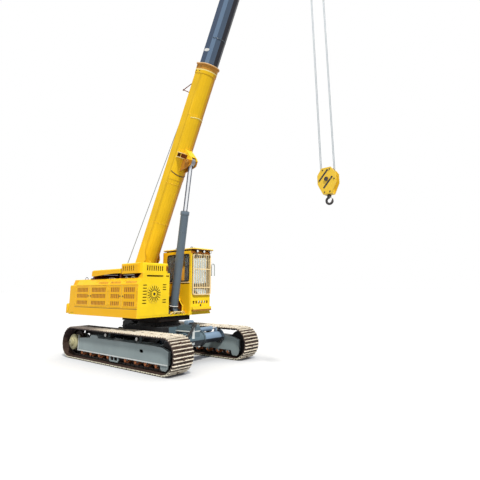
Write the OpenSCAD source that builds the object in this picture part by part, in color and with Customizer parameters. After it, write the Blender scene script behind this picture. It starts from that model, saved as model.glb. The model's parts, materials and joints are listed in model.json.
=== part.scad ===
// Telescopic-boom crawler crane, an assembly of separate named sub-parts.
// Millimetres, +Z up, +X forward, +Y to the machine's left, ground at z = 0.

/* [Undercarriage] */
// overall length of a track
track_len = 5380; // [4000:10:7000]
// overall height of a track
track_h = 927; // [700:1:1200]
// distance between the track centre lines
gauge = 2734; // [1800:2:3600]
// width of a track shoe
shoe_w = 674; // [400:2:900]
// number of shoes in one track
shoe_count = 60; // [40:2:80]
// height of the two bars on a shoe
bar_h = 30; // [15:1:50]
// thickness of the shoe plate
shoe_t = 20; // [10:1:40]
// height of the chain links under the shoes
link_h = 60; // [40:1:120]
// radius of the final drive's housing
drive_r = 215; // [150:1:260]
// width of the link chain
link_w = 190; // [120:2:300]
// width of the track frame
frame_w = 366; // [260:2:460]
// underside of the track frame
frame_z0 = 250; // [150:2:320]
// top of the track frame
frame_z1 = 660; // [500:2:760]
// radius of the bottom rollers
roll_r = 75; // [50:1:100]
// radius of the carrier rollers
carry_r = 62; // [40:1:90]
// half length of the carbody box
carbody_hl = 1050; // [800:5:1200]
// half width of the carbody box
carbody_hw = 620; // [400:5:900]
// half width of the beams in front of and behind the carbody
beam_hw = 150; // [100:5:300]
// half length of the sleeve round a cross tube
sleeve_hl = 360; // [250:5:500]
// top of the carbody
carbody_top = 985; // [800:5:1100]
// distance of the cross tubes from the slew axis
cross_x = 1530; // [1000:5:2000]
// height of the cross tubes
cross_z = 630; // [400:5:800]
// diameter of the cross tubes
cross_d = 300; // [150:5:400]
// radius of the slew ring
ring_r = 640; // [400:5:900]
// height of the fixed half of the slew ring
ring_h = 98; // [60:1:140]
// running gap between pieces that turn or slide on each other
run = 0.3; // [0.1:0.1:1]

/* [Superstructure] */
// underside of the superstructure
deck_z = 1280; // [1100:5:1500]
// thickness of the deck
deck_t = 50; // [20:1:120]
// rear face of the counterweight, behind the slew axis
rear_x = 3070; // [2400:5:3600]
// front face of the right cabinet
cab_r_front = 858; // [500:1:1300]
// outside face of the cabinets
side_y = 1465; // [1200:1:1700]
// inside face of the cabinets beside the boom
slot_y = 335; // [310:1:450]
// top of the straight side walls
shoulder_z = 2220; // [1900:5:2600]
// top of the cabinets
roof_z = 2400; // [2100:5:2900]
// inset of the bevelled shoulder
shoulder_in = 135; // [40:5:300]
// cabinet wall thickness
wall = 16; // [8:1:40]
// front face of the counterweight
cw_x = 2560; // [2000:5:3000]
// lower edge of the doors
door_z0 = 1560; // [1400:5:1800]
// upper edge of the doors
door_z1 = 2190; // [1900:5:2215]
// door panel thickness
door_t = 18; // [8:1:40]
// gap around a door
door_gap = 7; // [5:0.5:15]
// top of the tall hood block
hood_top = 2830; // [2500:5:3100]
// top of the low hood
hood_low = 2690; // [2600:5:2900]
// upper edge of the ventilation gap under the hoods
vent_z = 2550; // [2450:5:2650]
// radius of the round vent in the front face
vent_r = 260; // [150:5:320]
// rear edge of the low hood
hood_rear = 1730; // [1200:5:2400]
// seam between the low hood and the tall block
hood_split = 190; // [100:5:900]
// outer side of the hoods
hood_y = 1400; // [1340:5:1460]
// radius of the tall block's upright corners
hood_r = 150; // [60:5:220]

/* [Cab] */
// rear face of the cab
cab_x0 = -400; // [-700:5:-200]
// front face of the cab
cab_x1 = 1000; // [700:5:1300]
// inner side of the cab
cab_y0 = 400; // [340:5:600]
// outer side of the cab
cab_y1 = 1330; // [1100:5:1500]
// roof of the cab
cab_z1 = 3290; // [2900:5:3600]
// cab wall thickness
cab_t = 45; // [20:1:80]
// glass thickness
glass_t = 8; // [4:1:14]
// lower edge of the side windows
side_sill = 2320; // [2000:5:2600]
// lower edge of the front window
front_sill = 1900; // [1600:5:2200]
// height of the cab roof above the windows
head_h = 130; // [80:5:200]
// hinge line of the cab door
cab_hinge_x = -46; // [-150:1:60]
// radius of the window corners
win_r = 60; // [20:5:120]

/* [Boom] */
// radius of the boom foot pin
foot_pin_r = 56; // [30:1:80]
// boom foot pin behind the slew axis
foot_x = -1000; // [-1800:5:-200]
// boom foot pin above ground
foot_z = 2100; // [1700:5:2500]
// boom angle as modelled
boom_a = 65.75; // [20:0.25:80]
// end of the base section from the foot pin
base_end = 7750; // [5000:10:10000]
// end of the first fly section from the foot pin
fly1_end = 12200; // [8000:10:16000]
// end of the second fly section from the foot pin
fly2_end = 16200; // [12000:10:20000]
// length of a fly section
fly_len = 7400; // [5000:10:9000]
// width of the base section
base_w = 600; // [400:2:640]
// top of the base section above the foot axis
base_top = 339; // [200:1:450]
// depth of the base section
base_d = 574; // [400:2:800]
// section wall
sec_t = 10; // [6:1:20]
// gap between one section and the next
sec_gap = 25; // [10:1:40]
// head sheave axis from the foot pin
head_s = 16550; // [12000:10:21000]
// head sheave axis below the foot axis line
head_n = -300; // [-500:5:0]
// radius of the head plate round the sheaves
head_plate_r = 250; // [150:5:400]

/* [Luffing cylinder] */
// cylinder foot pin forward of the slew axis
cyl_x = 680; // [300:5:1200]
// cylinder foot pin above ground
cyl_z = 1400; // [1300:5:1700]
// rod eye forward of the slew axis
eye_x = 1338; // [1000:1:1700]
// rod eye above ground
eye_z = 6073; // [5000:1:7000]
// barrel diameter
barrel_d = 255; // [180:1:320]
// barrel length from its foot pin
barrel_l = 3100; // [2400:10:3400]
// rod diameter
rod_d = 140; // [80:1:180]
// radius of the cylinder foot pin
cyl_pin_r = 50; // [30:1:70]
// wall of the barrel
barrel_w = 32; // [15:1:50]
// rod length
rod_l = 2300; // [1800:10:3000]

/* [Winch and hook] */
// winch drum axis behind the slew axis
winch_x = -2080; // [-2500:5:-1600]
// winch drum axis above ground
winch_z = 2130; // [1800:5:2400]
// winch drum radius
drum_r = 190; // [120:5:260]
// middle of the hook block above ground
block_z = 4550; // [2500:10:9000]
// radius of the rope sheaves
sheave_r = 175; // [100:5:220]
// rope radius
rope_r = 8; // [5:0.5:14]
// radius of the winch shaft
shaft_r = 60; // [30:1:90]
// hook block width
block_w = 480; // [300:5:700]
// hook block height
block_h = 650; // [400:5:900]
// radius of the hook's bowl
bowl_r = 48; // [30:1:80]
// radius of the hook's bar
hook_r = 28; // [15:1:40]

/* [Hidden] */
$fa = 12;
$fs = 12;
ct = cos(boom_a);
st = sin(boom_a);
// place of the head sheave axis
hx = foot_x + head_s * ct - head_n * st;
hz = foot_z + head_s * st + head_n * ct;
// the plan middle of everything goes to x = 0
ox = -((hx + head_plate_r) - rear_x) / 2;
tr_r = track_h / 2;
tr_c = track_len / 2 - tr_r;
yc = gauge / 2;
frame_in = yc - frame_w / 2;
frame_out = yc + frame_w / 2;
cyl_a = atan2(eye_z - cyl_z, eye_x - cyl_x);
cyl_l = norm([eye_z - cyl_z, eye_x - cyl_x]);
eye_s = (eye_x - foot_x) * ct + (eye_z - foot_z) * st;
eye_n = -(eye_x - foot_x) * st + (eye_z - foot_z) * ct;
f1_w = base_w - 2 * (sec_t + sec_gap);
f1_top = base_top - sec_t - sec_gap;
f1_d = base_d - 2 * (sec_t + sec_gap);
f2_w = f1_w - 2 * (sec_t + sec_gap);
f2_top = f1_top - sec_t - sec_gap;
f2_d = f1_d - 2 * (sec_t + sec_gap);

yellow = [0.93, 0.72, 0.14];
dark = [0.16, 0.17, 0.18];
grey = [0.48, 0.52, 0.53];
slate = [0.22, 0.30, 0.42];
steel = [0.7, 0.72, 0.74];
rust = [0.42, 0.24, 0.16];

// helpers

// everything is drawn about the slew axis and shifted to the plan middle
module at() translate([ox, 0, 0]) children();

module both() { children(); mirror([0, 1, 0]) children(); }

// a box by its two corners
module bx(a, b) translate(a) cube([b[0] - a[0], b[1] - a[1], b[2] - a[2]]);

// a profile in the XZ plane, run from y0 to y1
module xz(y0, y1) translate([0, y1, 0]) rotate([90, 0, 0]) linear_extrude(y1 - y0) children();

// a profile in the YZ plane, run from x0 to x1
module yz(x0, x1) translate([x0, 0, 0]) rotate([90, 0, 90]) linear_extrude(x1 - x0) children();

// a cylinder along Y from y0 to y1
module cy(x, z, y0, y1, r) translate([x, y1, z]) rotate([90, 0, 0]) cylinder(h = y1 - y0, r = r);

// a box with its four upright edges bevelled
module bevelled(x0, y0, x1, y1, z0, z1, c) translate([0, 0, z0]) linear_extrude(z1 - z0)
    polygon([[x0 + c, y0], [x1 - c, y0], [x1, y0 + c], [x1, y1 - c], [x1 - c, y1], [x0 + c, y1],
        [x0, y1 - c], [x0, y0 + c]]);

// a rectangle about the origin with rounded corners
function round_pts(w, d, r)
    = [for (c = [[1, 1, 0], [-1, 1, 90], [-1, -1, 180], [1, -1, 270]]) for (i = [0:3])
    [c[0] * (w / 2 - r) + r * cos(c[2] + i * 30), c[1] * (d / 2 - r) + r * sin(c[2] + i * 30)]];

// the same by its corners, for windows and their glass
function pane(a0, a1, z0, z1, r)
    = [for (p = round_pts(a1 - a0, z1 - z0, r)) p + [(a0 + a1) / 2, (z0 + z1) / 2]];

// an upright outline with its two top corners rounded
function roll_pts(a0, a1, z0, z1, r) = concat([[a0, z0], [a1, z0]],
    [for (i = [0:3]) [a1 - r + r * cos(i * 30), z1 - r + r * sin(i * 30)]],
    [for (i = [0:3]) [a0 + r - r * sin(i * 30), z1 - r + r * cos(i * 30)]]);

// a box with round upright corners and its top edges rolled over, cut from its plan, side and front outlines
module capped(x0, y0, x1, y1, z0, z1, r, roll) intersection() {
    translate([(x0 + x1) / 2, (y0 + y1) / 2, z0]) linear_extrude(z1 - z0)
        polygon(round_pts(x1 - x0, y1 - y0, r));
    xz(y0, y1) polygon(roll_pts(x0, x1, z0, z1, roll));
    yz(x0, x1) polygon(roll_pts(y0, y1, z0, z1, roll));
}

// boom frame: x along the boom, z to its top face, origin at the foot pin
module boom_at() at() translate([foot_x, 0, foot_z]) rotate([0, -boom_a, 0]) children();

// cylinder frame: x along the cylinder, origin at its foot pin
module cyl_at() at() translate([cyl_x, 0, cyl_z]) rotate([0, -cyl_a, 0]) children();

// boom section outline in the YZ plane: flat top, straight sides and a bottom bent in n flats
round_n = 10;
fly_n = 5;
function u_pts(w, d, top, c, n) = concat(
    [[-w / 2 + c, top], [w / 2 - c, top], [w / 2, top - c]],
    [for (i = [0:n]) let (a = -180 / n * i) [w / 2 * cos(a), top - d * 0.52 + d * 0.48 * sin(a)]],
    [[-w / 2, top - c]]);

module tube(x0, x1, w, d, top, n) difference() {
    yz(x0, x1) polygon(u_pts(w, d, top, 30, n));
    yz(x0 - 1, x1 + 1) polygon(u_pts(w - 2 * sec_t, d - 2 * sec_t, top - sec_t, 24, n));
}

// wear pads inside a section's mouth, one ring that the next section slides in
module pads(x0, x1, w, d, top, n) difference() {
    yz(x0, x1) polygon(u_pts(w - sec_t, d - sec_t, top - sec_t / 2, 26, n));
    yz(x0 - 1, x1 + 1) polygon(u_pts(w - 2 * (sec_t + sec_gap) + 2 * run,
        d - 2 * (sec_t + sec_gap) + 2 * run, top - sec_t - sec_gap + run, 30, fly_n));
}

// a run of upright slots cut through a side panel
module slots(x0, x1, y0, y1, z0, z1, pitch, sw) {
    n = floor((x1 - x0 - sw) / pitch);
    p = (x1 - x0 - sw) / n;
    for (i = [0:n]) bx([x0 + i * p, y0, z0], [x0 + i * p + sw, y1, z1]);
}

// point on the track loop: s along the centre line, r its distance outwards
loop_len = 4 * tr_c + 2 * PI * tr_r;
function lq(s, r) = let (u = s < 0 ? s + loop_len : s)
    (u < 2 * tr_c) ? [-tr_c + u, r]
    : (u < 2 * tr_c + PI * tr_r) ? let (a = 90 - (u - 2 * tr_c) / tr_r * 180 / PI)
        [tr_c + r * cos(a), r * sin(a)]
    : (u < 4 * tr_c + PI * tr_r) ? [tr_c - (u - 2 * tr_c - PI * tr_r), -r]
    : let (a = 270 - (u - 4 * tr_c - PI * tr_r) / tr_r * 180 / PI) [-tr_c + r * cos(a), r * sin(a)];

// table of a shoe's outline: place along the pitch, height above the plate
shoe_pts = [[0.04, 0], [0.16, 0], [0.20, 1], [0.28, 1], [0.32, 0], [0.62, 0], [0.66, 1], [0.74, 1],
    [0.78, 0], [0.96, 0]];
pitch = loop_len / shoe_count;

module stadium(r) polygon(concat(
    [for (a = [90:-12:-90]) [tr_c + r * cos(a), r * sin(a)]],
    [for (a = [270:-12:90]) [-tr_c + r * cos(a), r * sin(a)]]));

module track() color(dark) {
    translate([0, 0, tr_r]) difference() {
        xz(yc - shoe_w / 2, yc + shoe_w / 2)
            polygon([for (k = [0:shoe_count - 1]) for (p = shoe_pts) lq((k + p[0]) * pitch,
                tr_r - bar_h * (1 - p[1]))]);
        xz(yc - shoe_w / 2 - 1, yc + shoe_w / 2 + 1) stadium(tr_r - bar_h - shoe_t);
    }
    translate([0, 0, tr_r]) difference() {
        xz(yc - link_w / 2, yc + link_w / 2) stadium(tr_r - bar_h - shoe_t + 3);
        xz(yc - link_w / 2 - 1, yc + link_w / 2 + 1) stadium(tr_r - bar_h - shoe_t - link_h);
    }
}

module track_left() at() track();
module track_right() at() mirror([0, 1, 0]) track();

// places of the bottom rollers and of the carrier rollers, as shares of the way from the middle to a wheel
roll_x = [for (k = [-0.764, -0.543, -0.332, -0.135, 0.247, 0.449, 0.638, 0.831]) k * tr_c];
carry_x = [for (k = [-0.274, 0.404]) k * tr_c];
chain_in = tr_r - bar_h - shoe_t - link_h;
roll_z = tr_r - chain_in + roll_r;
carry_z = tr_r + chain_in - carry_r - run;
idler_r = chain_in - 6;

module track_frames() color(grey) at() both() {
    difference() {
        xz(frame_in, frame_out) polygon([[-tr_c + 296, frame_z0 + 50], [-tr_c + 346, frame_z0],
            [tr_c + 84, frame_z0], [tr_c + 84, frame_z1 - 90], [tr_c - 156, frame_z1 - 20],
            [tr_c - 636, frame_z1], [-tr_c + 1366, frame_z1], [-tr_c + 1306, frame_z1 + 70],
            [-tr_c + 966, frame_z1 + 70], [-tr_c + 896, frame_z1 - 20], [-tr_c + 296, frame_z1 - 60]]);
        // room for the idler and its yoke
        bx([tr_c - 426, yc - 110, frame_z0 - 50], [tr_c + 174, yc + 110, frame_z1 + 140]);
        // room for the sprocket
        bx([-tr_c + 226, yc - 110, frame_z0 - 50], [-tr_c + 436, yc + 110, frame_z1 + 140]);
        // channel over the rollers
        bx([-tr_c + 226, yc - 130, frame_z0 - 50], [tr_c - 236, yc + 130, roll_z + roll_r + 15]);
        // hollow of the box
        bx([-tr_c + 526, frame_in + 25, frame_z0 + 80], [tr_c - 526, frame_out - 25, frame_z1 - 60]);
        // oval hole in the side plate
        for (x = [tr_c - 1036, tr_c - 956]) cy(x, 490, frame_out - 60, frame_out + 5, 42);
        bx([tr_c - 1036, frame_out - 60, 448], [tr_c - 956, frame_out + 5, 532]);
    }
    // bottom flange
    bx([-tr_c + 346, frame_out - 4, frame_z0 - 15], [tr_c + 64, frame_out + 22, frame_z0 + 12]);
    // upright flange at the rear end and a rib along the top edge
    bx([-tr_c + 286, frame_out - 8, frame_z0 - 15], [-tr_c + 300, frame_out + 24, frame_z1 + 20]);
    bx([-tr_c + 1320, frame_out - 4, frame_z1 - 14], [tr_c - 640, frame_out + 14, frame_z1]);
    // middle roller guards, the outer one with two openings
    for (y = [frame_in, frame_out - 30]) difference() {
        xz(y, y + 30) polygon([[-225, frame_z0 + 2], [-225, 150], [-190, 95], [195, 95], [230, 150],
            [230, frame_z0 + 2]]);
        for (x = [-160, 20]) bx([x, frame_out - 40, 130], [x + 145, frame_out + 10, frame_z0 - 25]);
    }
    // guards under the nose
    for (y = [frame_in, frame_out - 28]) xz(y, y + 28)
        polygon([[tr_c - 230, frame_z0 + 2], [tr_c - 190, 130], [tr_c - 150, 105],
        [tr_c + 10, 105], [tr_c + 60, 160], [tr_c + 84, frame_z0 + 2]]);
    // saddles that hold the roller axles
    for (x = roll_x) for (y = [yc - 171, yc + 131]) difference() {
        bx([x - 60, y, roll_z - 5], [x + 60, y + 40, frame_z0 + 2]);
        cy(x, roll_z, y - 1, y + 41, 40 + run);
    }
    // carrier roller posts
    for (x = carry_x) bx([x - 40, yc - 40, frame_z1 - 5], [x + 40, yc + 40, carry_z + 45]);
    // final drive carrier
    difference() {
        xz(frame_in, frame_in + 45)
            polygon([[-tr_c + 326, tr_r - 163], [-tr_c + 76, tr_r - 248], [-tr_c - 174, tr_r - 213],
            [-tr_c - 264, tr_r - 63], [-tr_c - 264, tr_r + 67],
            [-tr_c - 174, tr_r + 217], [-tr_c + 76, tr_r + 252], [-tr_c + 326, tr_r + 147]]);
        cy(-tr_c, tr_r, frame_in - 5, frame_in + 50, drive_r + run);
    }
}

module bottom_rollers() color(rust) at() both() for (x = roll_x) {
    cy(x, roll_z, yc - 115, yc + 115, roll_r);
    cy(x, roll_z, yc - 172, yc + 172, 40);
}

module carrier_rollers() color(rust) at() both() for (x = carry_x) {
    for (s = [-1, 1]) {
        cy(x, carry_z, yc + (s < 0 ? -95 : 45), yc + (s < 0 ? -45 : 95), carry_r);
        cy(x, carry_z, yc + (s < 0 ? -95 : 40), yc + (s < 0 ? -40 : 95), 28);
    }
}

module idlers() color(grey) at() both() {
    cy(tr_c, tr_r, yc - 60, yc + 60, idler_r);
    cy(tr_c, tr_r, yc - 100, yc + 100, 110);
    cy(tr_c, tr_r, yc - 110, yc + 110, 45);
    // yoke arms below the frame's nose
    for (y = [yc - 150, yc + 115]) bx([tr_c - 310, y, tr_r - chain_in], [tr_c + 60, y + 35, frame_z0]);
}

// a toothed wheel outline
module teeth(n, r1, r2) polygon([for (i = [0:n - 1]) for (k = [[0, r1], [0.25, r1], [0.42, r2], [0.58, r2],
    [0.75, r1]])
    let (a = 360 * (i + k[0]) / n) [k[1] * cos(a), k[1] * sin(a)]]);

module sprockets() color(dark) at() both() {
    translate([-tr_c, 0, tr_r]) xz(yc - 30, yc + 30) teeth(21, idler_r - 40, idler_r);
}

module final_drives() color(grey) at() both() {
    cy(-tr_c, tr_r, frame_in - 60, yc - 30, drive_r);
    // planetary housing with its flange and stepped end cap
    translate([-tr_c, 0, tr_r]) rotate([-90, 0, 0]) rotate_extrude()
        polygon([[0, yc + 30], [205, yc + 30], [205, frame_out - 30], [232, frame_out - 20],
        [232, frame_out + 22], [185, frame_out + 58], [125, frame_out + 66], [112, frame_out + 110],
        [0, frame_out + 110]]);
}

module carbody() color(dark) at() {
    difference() {
        bevelled(-carbody_hl, -carbody_hw, carbody_hl, carbody_hw, 430, carbody_top, 160);
        translate([0, 0, 400]) bevelled(-carbody_hl + 40, -carbody_hw + 40, carbody_hl - 40,
            carbody_hw - 40, 0, carbody_top - 440, 150);
        translate([0, 0, carbody_top - 60]) cylinder(h = 100, r = 220);
    }
    for (s = [0, 180]) rotate([0, 0, s]) cross_beam();
}

// beam in front of the carbody with its flanges, and the sleeve that holds the cross tube
module cross_beam() {
    tip = cross_x + 170;
    difference() {
        union() {
            difference() {
                xz(-beam_hw, beam_hw) polygon([[carbody_hl - 50, 450], [tip - 60, 450], [tip, 520],
                    [tip, 1000], [tip - 50, 1050], [carbody_hl + 200, 1050],
                    [carbody_hl - 5, carbody_top], [carbody_hl - 50, carbody_top]]);
                bx([carbody_hl + 2, -beam_hw + 25, 420], [tip - 100, beam_hw - 25, 940]);
            }
            // flanges along the lower edge and the middle, wider than the web
            for (y = [-beam_hw - 50, beam_hw - 20]) for (z = [428, 862])
                bx([carbody_hl - 20, y, z], [tip - 30, y + 70, z + 26]);
            cy(cross_x, cross_z, -sleeve_hl, sleeve_hl, cross_d / 2 + 38);
            for (y = [-sleeve_hl, sleeve_hl - 40]) cy(cross_x, cross_z, y, y + 40, cross_d / 2 + 75);
        }
        cy(cross_x, cross_z, -sleeve_hl - 5, sleeve_hl + 5, cross_d / 2 + run);
        // tow and tie-down eye
        cy(cross_x + 110, 985, -beam_hw - 5, beam_hw + 5, 26);
    }
}

module cross_tubes() color(grey) at() for (s = [-1, 1]) difference() {
    union() {
        cy(s * cross_x, cross_z, -frame_in, frame_in, cross_d / 2);
        for (y = [-frame_in, frame_in - 45]) cy(s * cross_x, cross_z, y, y + 45, cross_d / 2 + 55);
    }
    cy(s * cross_x, cross_z, -frame_in - 1, frame_in + 1, cross_d / 2 - 25);
}

module slew_ring() color(steel) at() translate([0, 0, carbody_top]) difference() {
    cylinder(h = ring_h, r = ring_r);
    translate([0, 0, -1]) cylinder(h = ring_h + 2, r = ring_r - 120);
}

module turntable_frame() color(dark) at() {
    // turning half of the ring and the block over it
    difference() {
        translate([0, 0, carbody_top + ring_h + run]) cylinder(h = 60, r = ring_r - 20);
        translate([0, 0, carbody_top + ring_h - 5]) cylinder(h = 80, r = ring_r - 120);
    }
    difference() {
        bevelled(-1050, -700, 800, 700, carbody_top + 145, deck_z, 120);
        translate([0, 0, carbody_top + 100]) cylinder(h = 120, r = 300);
    }
    // deck
    difference() {
        bx([-rear_x + 260, -side_y + 20, deck_z], [cab_r_front - 6, side_y - 20, deck_z + deck_t]);
        bx([cab_r_front - 300, -240, deck_z - 1], [cab_r_front, 240, deck_z + deck_t + 1]);
    }
    bx([cab_r_front - 20, cab_y0 - 30, deck_z], [cab_x1 - 10, cab_y1, deck_z + deck_t]);
    // front plate across the opening before the cylinder's foot
    bx([cab_r_front - 14, -slot_y + 6, deck_z], [cab_r_front, cab_y0 - 34, deck_z + deck_t + 6]);
    // boom foot uprights
    both() difference() {
        xz(215, 295) polygon([[-1750, deck_z + deck_t - 2], [-500, deck_z + deck_t - 2], [-560, 1750],
            [-760, 2120], [-840, 2260], [-940, 2320],
            [-1080, 2320], [-1180, 2240], [-1420, 1950], [-1750, 1500]]);
        cy(foot_x, foot_z, 210, 300, foot_pin_r + run);
    }
    // cylinder foot lugs on two longitudinal webs
    both() difference() {
        xz(95, 150) polygon([[-450, deck_z - 2], [cyl_x + 175, deck_z - 2], [cyl_x + 175, cyl_z],
            [cyl_x + 108, cyl_z + 68], [cyl_x + 55, cyl_z + 100], [cyl_x - 55, cyl_z + 100],
            [cyl_x - 115, cyl_z + 68], [380, deck_z + deck_t + 60], [-450, deck_z + deck_t + 20]]);
        cy(cyl_x, cyl_z, 90, 155, cyl_pin_r + run);
    }
}

module counterweight() color(yellow) at() {
    difference() {
        union() {
            xz(-side_y + 10, side_y - 10)
                polygon([[-rear_x + 60, deck_z], [-cw_x + 4, deck_z], [-cw_x + 4, shoulder_z],
                [-rear_x + 40, shoulder_z],
                [-rear_x, shoulder_z - 60], [-rear_x, 1640], [-rear_x + 25, 1610],
                    [-rear_x + 25, deck_z + 50]]);
            xz(-side_y + shoulder_in, side_y - shoulder_in)
                polygon([[-cw_x + 4, shoulder_z - 2], [-cw_x + 4, roof_z], [-rear_x + 180, roof_z],
                [-rear_x + 60, shoulder_z - 2]]);
        }
        // the deck's rear edge sits in the counterweight
        bx([-rear_x + 260, -side_y, deck_z - 2], [-cw_x + 10, side_y, deck_z + deck_t]);
        // corners cut back
        for (s = [-1, 1]) translate([-rear_x, s * (side_y - 10), 0]) rotate([0, 0, 45])
            translate([-90, -90, deck_z - 10]) cube([180, 180, 1300]);
    }
}

// outline of a cabinet, with its bevelled shoulder, for the right side
module cab_outline(o) polygon([[-side_y + o, deck_z + deck_t + o], [-slot_y - o, deck_z + deck_t + o],
    [-slot_y - o, roof_z - o],
    [-side_y + shoulder_in + o * 0.6, roof_z - o], [-side_y + o, shoulder_z - o * 0.5]]);

module shell(x0, x1) difference() {
    yz(x0, x1) cab_outline(0);
    yz(x0 + wall, x1 - wall) cab_outline(wall);
}

// table of the right-hand doors: rear edge, front edge, hinge end (0 rear, 1 front)
doors_r = [[-2530, -1685, 0], [-1645, -665, 1], [-575, 60, 0], [100, 800, 1]];
// table of the left-hand doors in the same columns
doors_l = [[-2530, -1685, 0], [-1645, -600, 1]];
// louvre rows on the doors: lower and upper edge
rows = [[2000, 2130], [1820, 1940], [1610, 1730]];

// hinges of a side door, its own halves or the wall's halves
hinge_off = 5;
hinge_r = 8;
module hinge_halves(d, own) for (z = [door_z0 + 80, door_z1 - 130]) {
    s = d[2] == 0 ? 1 : -1;
    hxx = d[2] == 0 ? d[0] - hinge_off : d[1] + hinge_off;
    for (k = own ? [[z, 50]] : [[z - 30, 30 - run], [z + 50 + run, 30 - run]]) {
        translate([hxx, -side_y - hinge_r, k[0]]) cylinder(h = k[1], r = hinge_r);
        m = (own ? 1 : -1) * s;
        bx([min(hxx, hxx + m * 34), -side_y - 5, k[0]],
            [max(hxx, hxx + m * 34), -side_y + (own ? 1 : 0), k[0] + k[1]]);
    }
}

module right_cabinet() color(yellow) at() {
    for (d = doors_r) hinge_halves(d, false);
    right_shell();
}

// the neck that carries the tall block starts here
neck_x = -hood_split + 60;

module right_shell() difference() {
    union() {
        shell(-cw_x + 10, cab_r_front);
        // tall hood block on its neck, open inside
        difference() {
            union() {
                capped(-hood_split, -hood_y, cab_r_front, -slot_y, vent_z - 20, hood_top, hood_r, 45);
                bx([neck_x, -side_y + shoulder_in, roof_z - wall], [cab_r_front, -slot_y, vent_z - 10]);
            }
            capped(-hood_split + wall, -hood_y + wall, cab_r_front - wall, -slot_y - wall, vent_z - 4,
                hood_top - wall, hood_r - wall, 45 - wall);
            bx([neck_x + wall, -side_y + shoulder_in + wall, roof_z - 30],
                [cab_r_front - wall, -slot_y - wall, vent_z + 5]);
        }
        // skirt band that stands proud
        bx([-cw_x + 10, -side_y - 12, deck_z + 5], [cab_r_front, -side_y + wall, 1520]);
        bx([-cw_x + 10, -side_y - 12, deck_z + 5], [cab_r_front, -side_y + 20, deck_z + deck_t + 1]);
        // posts that carry the low hood, the rear ones with a buttress
        for (y = [-side_y + shoulder_in + 10, -slot_y - 70]) {
            for (x = [-hood_rear, -hood_split - 80]) bx([x, y, roof_z - 10], [x + 60, y + 60, vent_z - 6]);
            xz(y, y + 60) polygon([[-hood_rear - 90, roof_z - 10], [-hood_rear + 5, roof_z - 10],
                [-hood_rear + 5, vent_z - 40], [-hood_rear - 12, vent_z - 40]]);
            hood_hinge(y, false);
        }
        // inner wall of the engine bay
        bx([-hood_rear, -slot_y - wall, roof_z - 10], [neck_x + 2, -slot_y, vent_z - 6]);
    }
    // door openings
    for (d = doors_r) bx([d[0] - door_gap, -side_y - 20, door_z0 - door_gap],
        [d[1] + door_gap, -side_y + wall + 5, door_z1 + door_gap]);
    // ventilation gap under the tall block, its front end slanting
    xz(-side_y + shoulder_in - 5, -side_y + shoulder_in + wall + 5)
        polygon([[neck_x - 5, roof_z + 4], [640, roof_z + 4], [790, vent_z - 20],
        [neck_x - 5, vent_z - 20]]);
    bx([neck_x - 5, -side_y + shoulder_in - 5, roof_z + 4],
        [neck_x + wall + 5, -side_y + 560, vent_z - 20]);
    for (y = [[-1180, -590], [-470, -365]])
        bx([cab_r_front - wall - 5, y[0], 2430], [cab_r_front + 5, y[1], 2475]);
    // roof opening under the low hood
    bx([-hood_rear + 90, -side_y + shoulder_in + 100, roof_z - 40],
        [-hood_split - 100, -slot_y - 110, roof_z + 5]);
    // louvres on the side and front of the tall block
    slots(-20, 520, -hood_y - 5, -hood_y + wall + 5, 2605, 2750, 85, 38);
    for (i = [0:7]) bx([cab_r_front - wall - 5, -1185 + i * 78, 2605],
        [cab_r_front + 5, -1185 + i * 78 + 36, 2750]);
    // round vent in the front face
    translate([cab_r_front - wall - 5, -900, 1940]) rotate([0, 90, 0])
        cylinder(h = wall + 12, r = vent_r + run);
    // short slots either side of the vent
    for (i = [0:6]) bx([cab_r_front - wall - 5, -1300, 1670 + i * 84],
        [cab_r_front + 5, -1170, 1670 + i * 84 + 28]);
    for (z = [1680, 1750, 2045, 2115, 2185])
        bx([cab_r_front - wall - 5, -585, z], [cab_r_front + 5, -455, z + 28]);
    // shoulder louvres
    for (g = [[-1425, -905], [-710, -200], [80, 490]])
        translate([0, -side_y + shoulder_in / 2, (shoulder_z + roof_z) / 2])
            rotate([-atan(shoulder_in / (roof_z - shoulder_z)), 0, 0])
            slots(g[0], g[1], -40, 40, -50, 50, 90, 30);
}

module front_vent() color(yellow) at()
    translate([cab_r_front - wall, -900, 1940]) rotate([0, 90, 0]) difference() {
    cylinder(h = wall + 8, r = vent_r);
    translate([0, 0, -1]) cylinder(h = wall + 12, r = 34);
    for (i = [0:17]) rotate([0, 0, i * 20]) translate([92, -13, -1]) cube([143, 26, wall + 12]);
}

module left_cabinet() color(yellow) at() {
    mirror([0, 1, 0]) {
        for (d = doors_l) hinge_halves(d, false);
        left_shell();
    }
    // web plate beside the cab with its slanting front edge and the lip along it
    xz(cab_y0 - 30, cab_y0 - 8)
        polygon([[cab_x0 - 112, deck_z + deck_t], [690, deck_z + deck_t], [715, 1560], [460, 1850],
        [cab_x0 - 112, 1850]]);
    xz(cab_y0 - 60, cab_y0 - 8)
        polygon([[672, deck_z + deck_t], [690, deck_z + deck_t], [715, 1560], [460, 1850], [448, 1836],
        [696, 1555]]);
}

// hinge of the low hood on a post that starts at y, the hood's half or the post's half
module hood_hinge(y, own) for (k = own ? [[18, 24]] : [[0, 18 - run], [42 + run, 18 - run]]) {
    cy(-hood_rear - 9, vent_z - 3, y + k[0], y + k[0] + k[1], 8);
    bx([-hood_rear - 9, y + k[0], own ? vent_z - 3 : vent_z - 30],
        [-hood_rear + 1, y + k[0] + k[1], own ? vent_z + 16 : vent_z - 8]);
}

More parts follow.
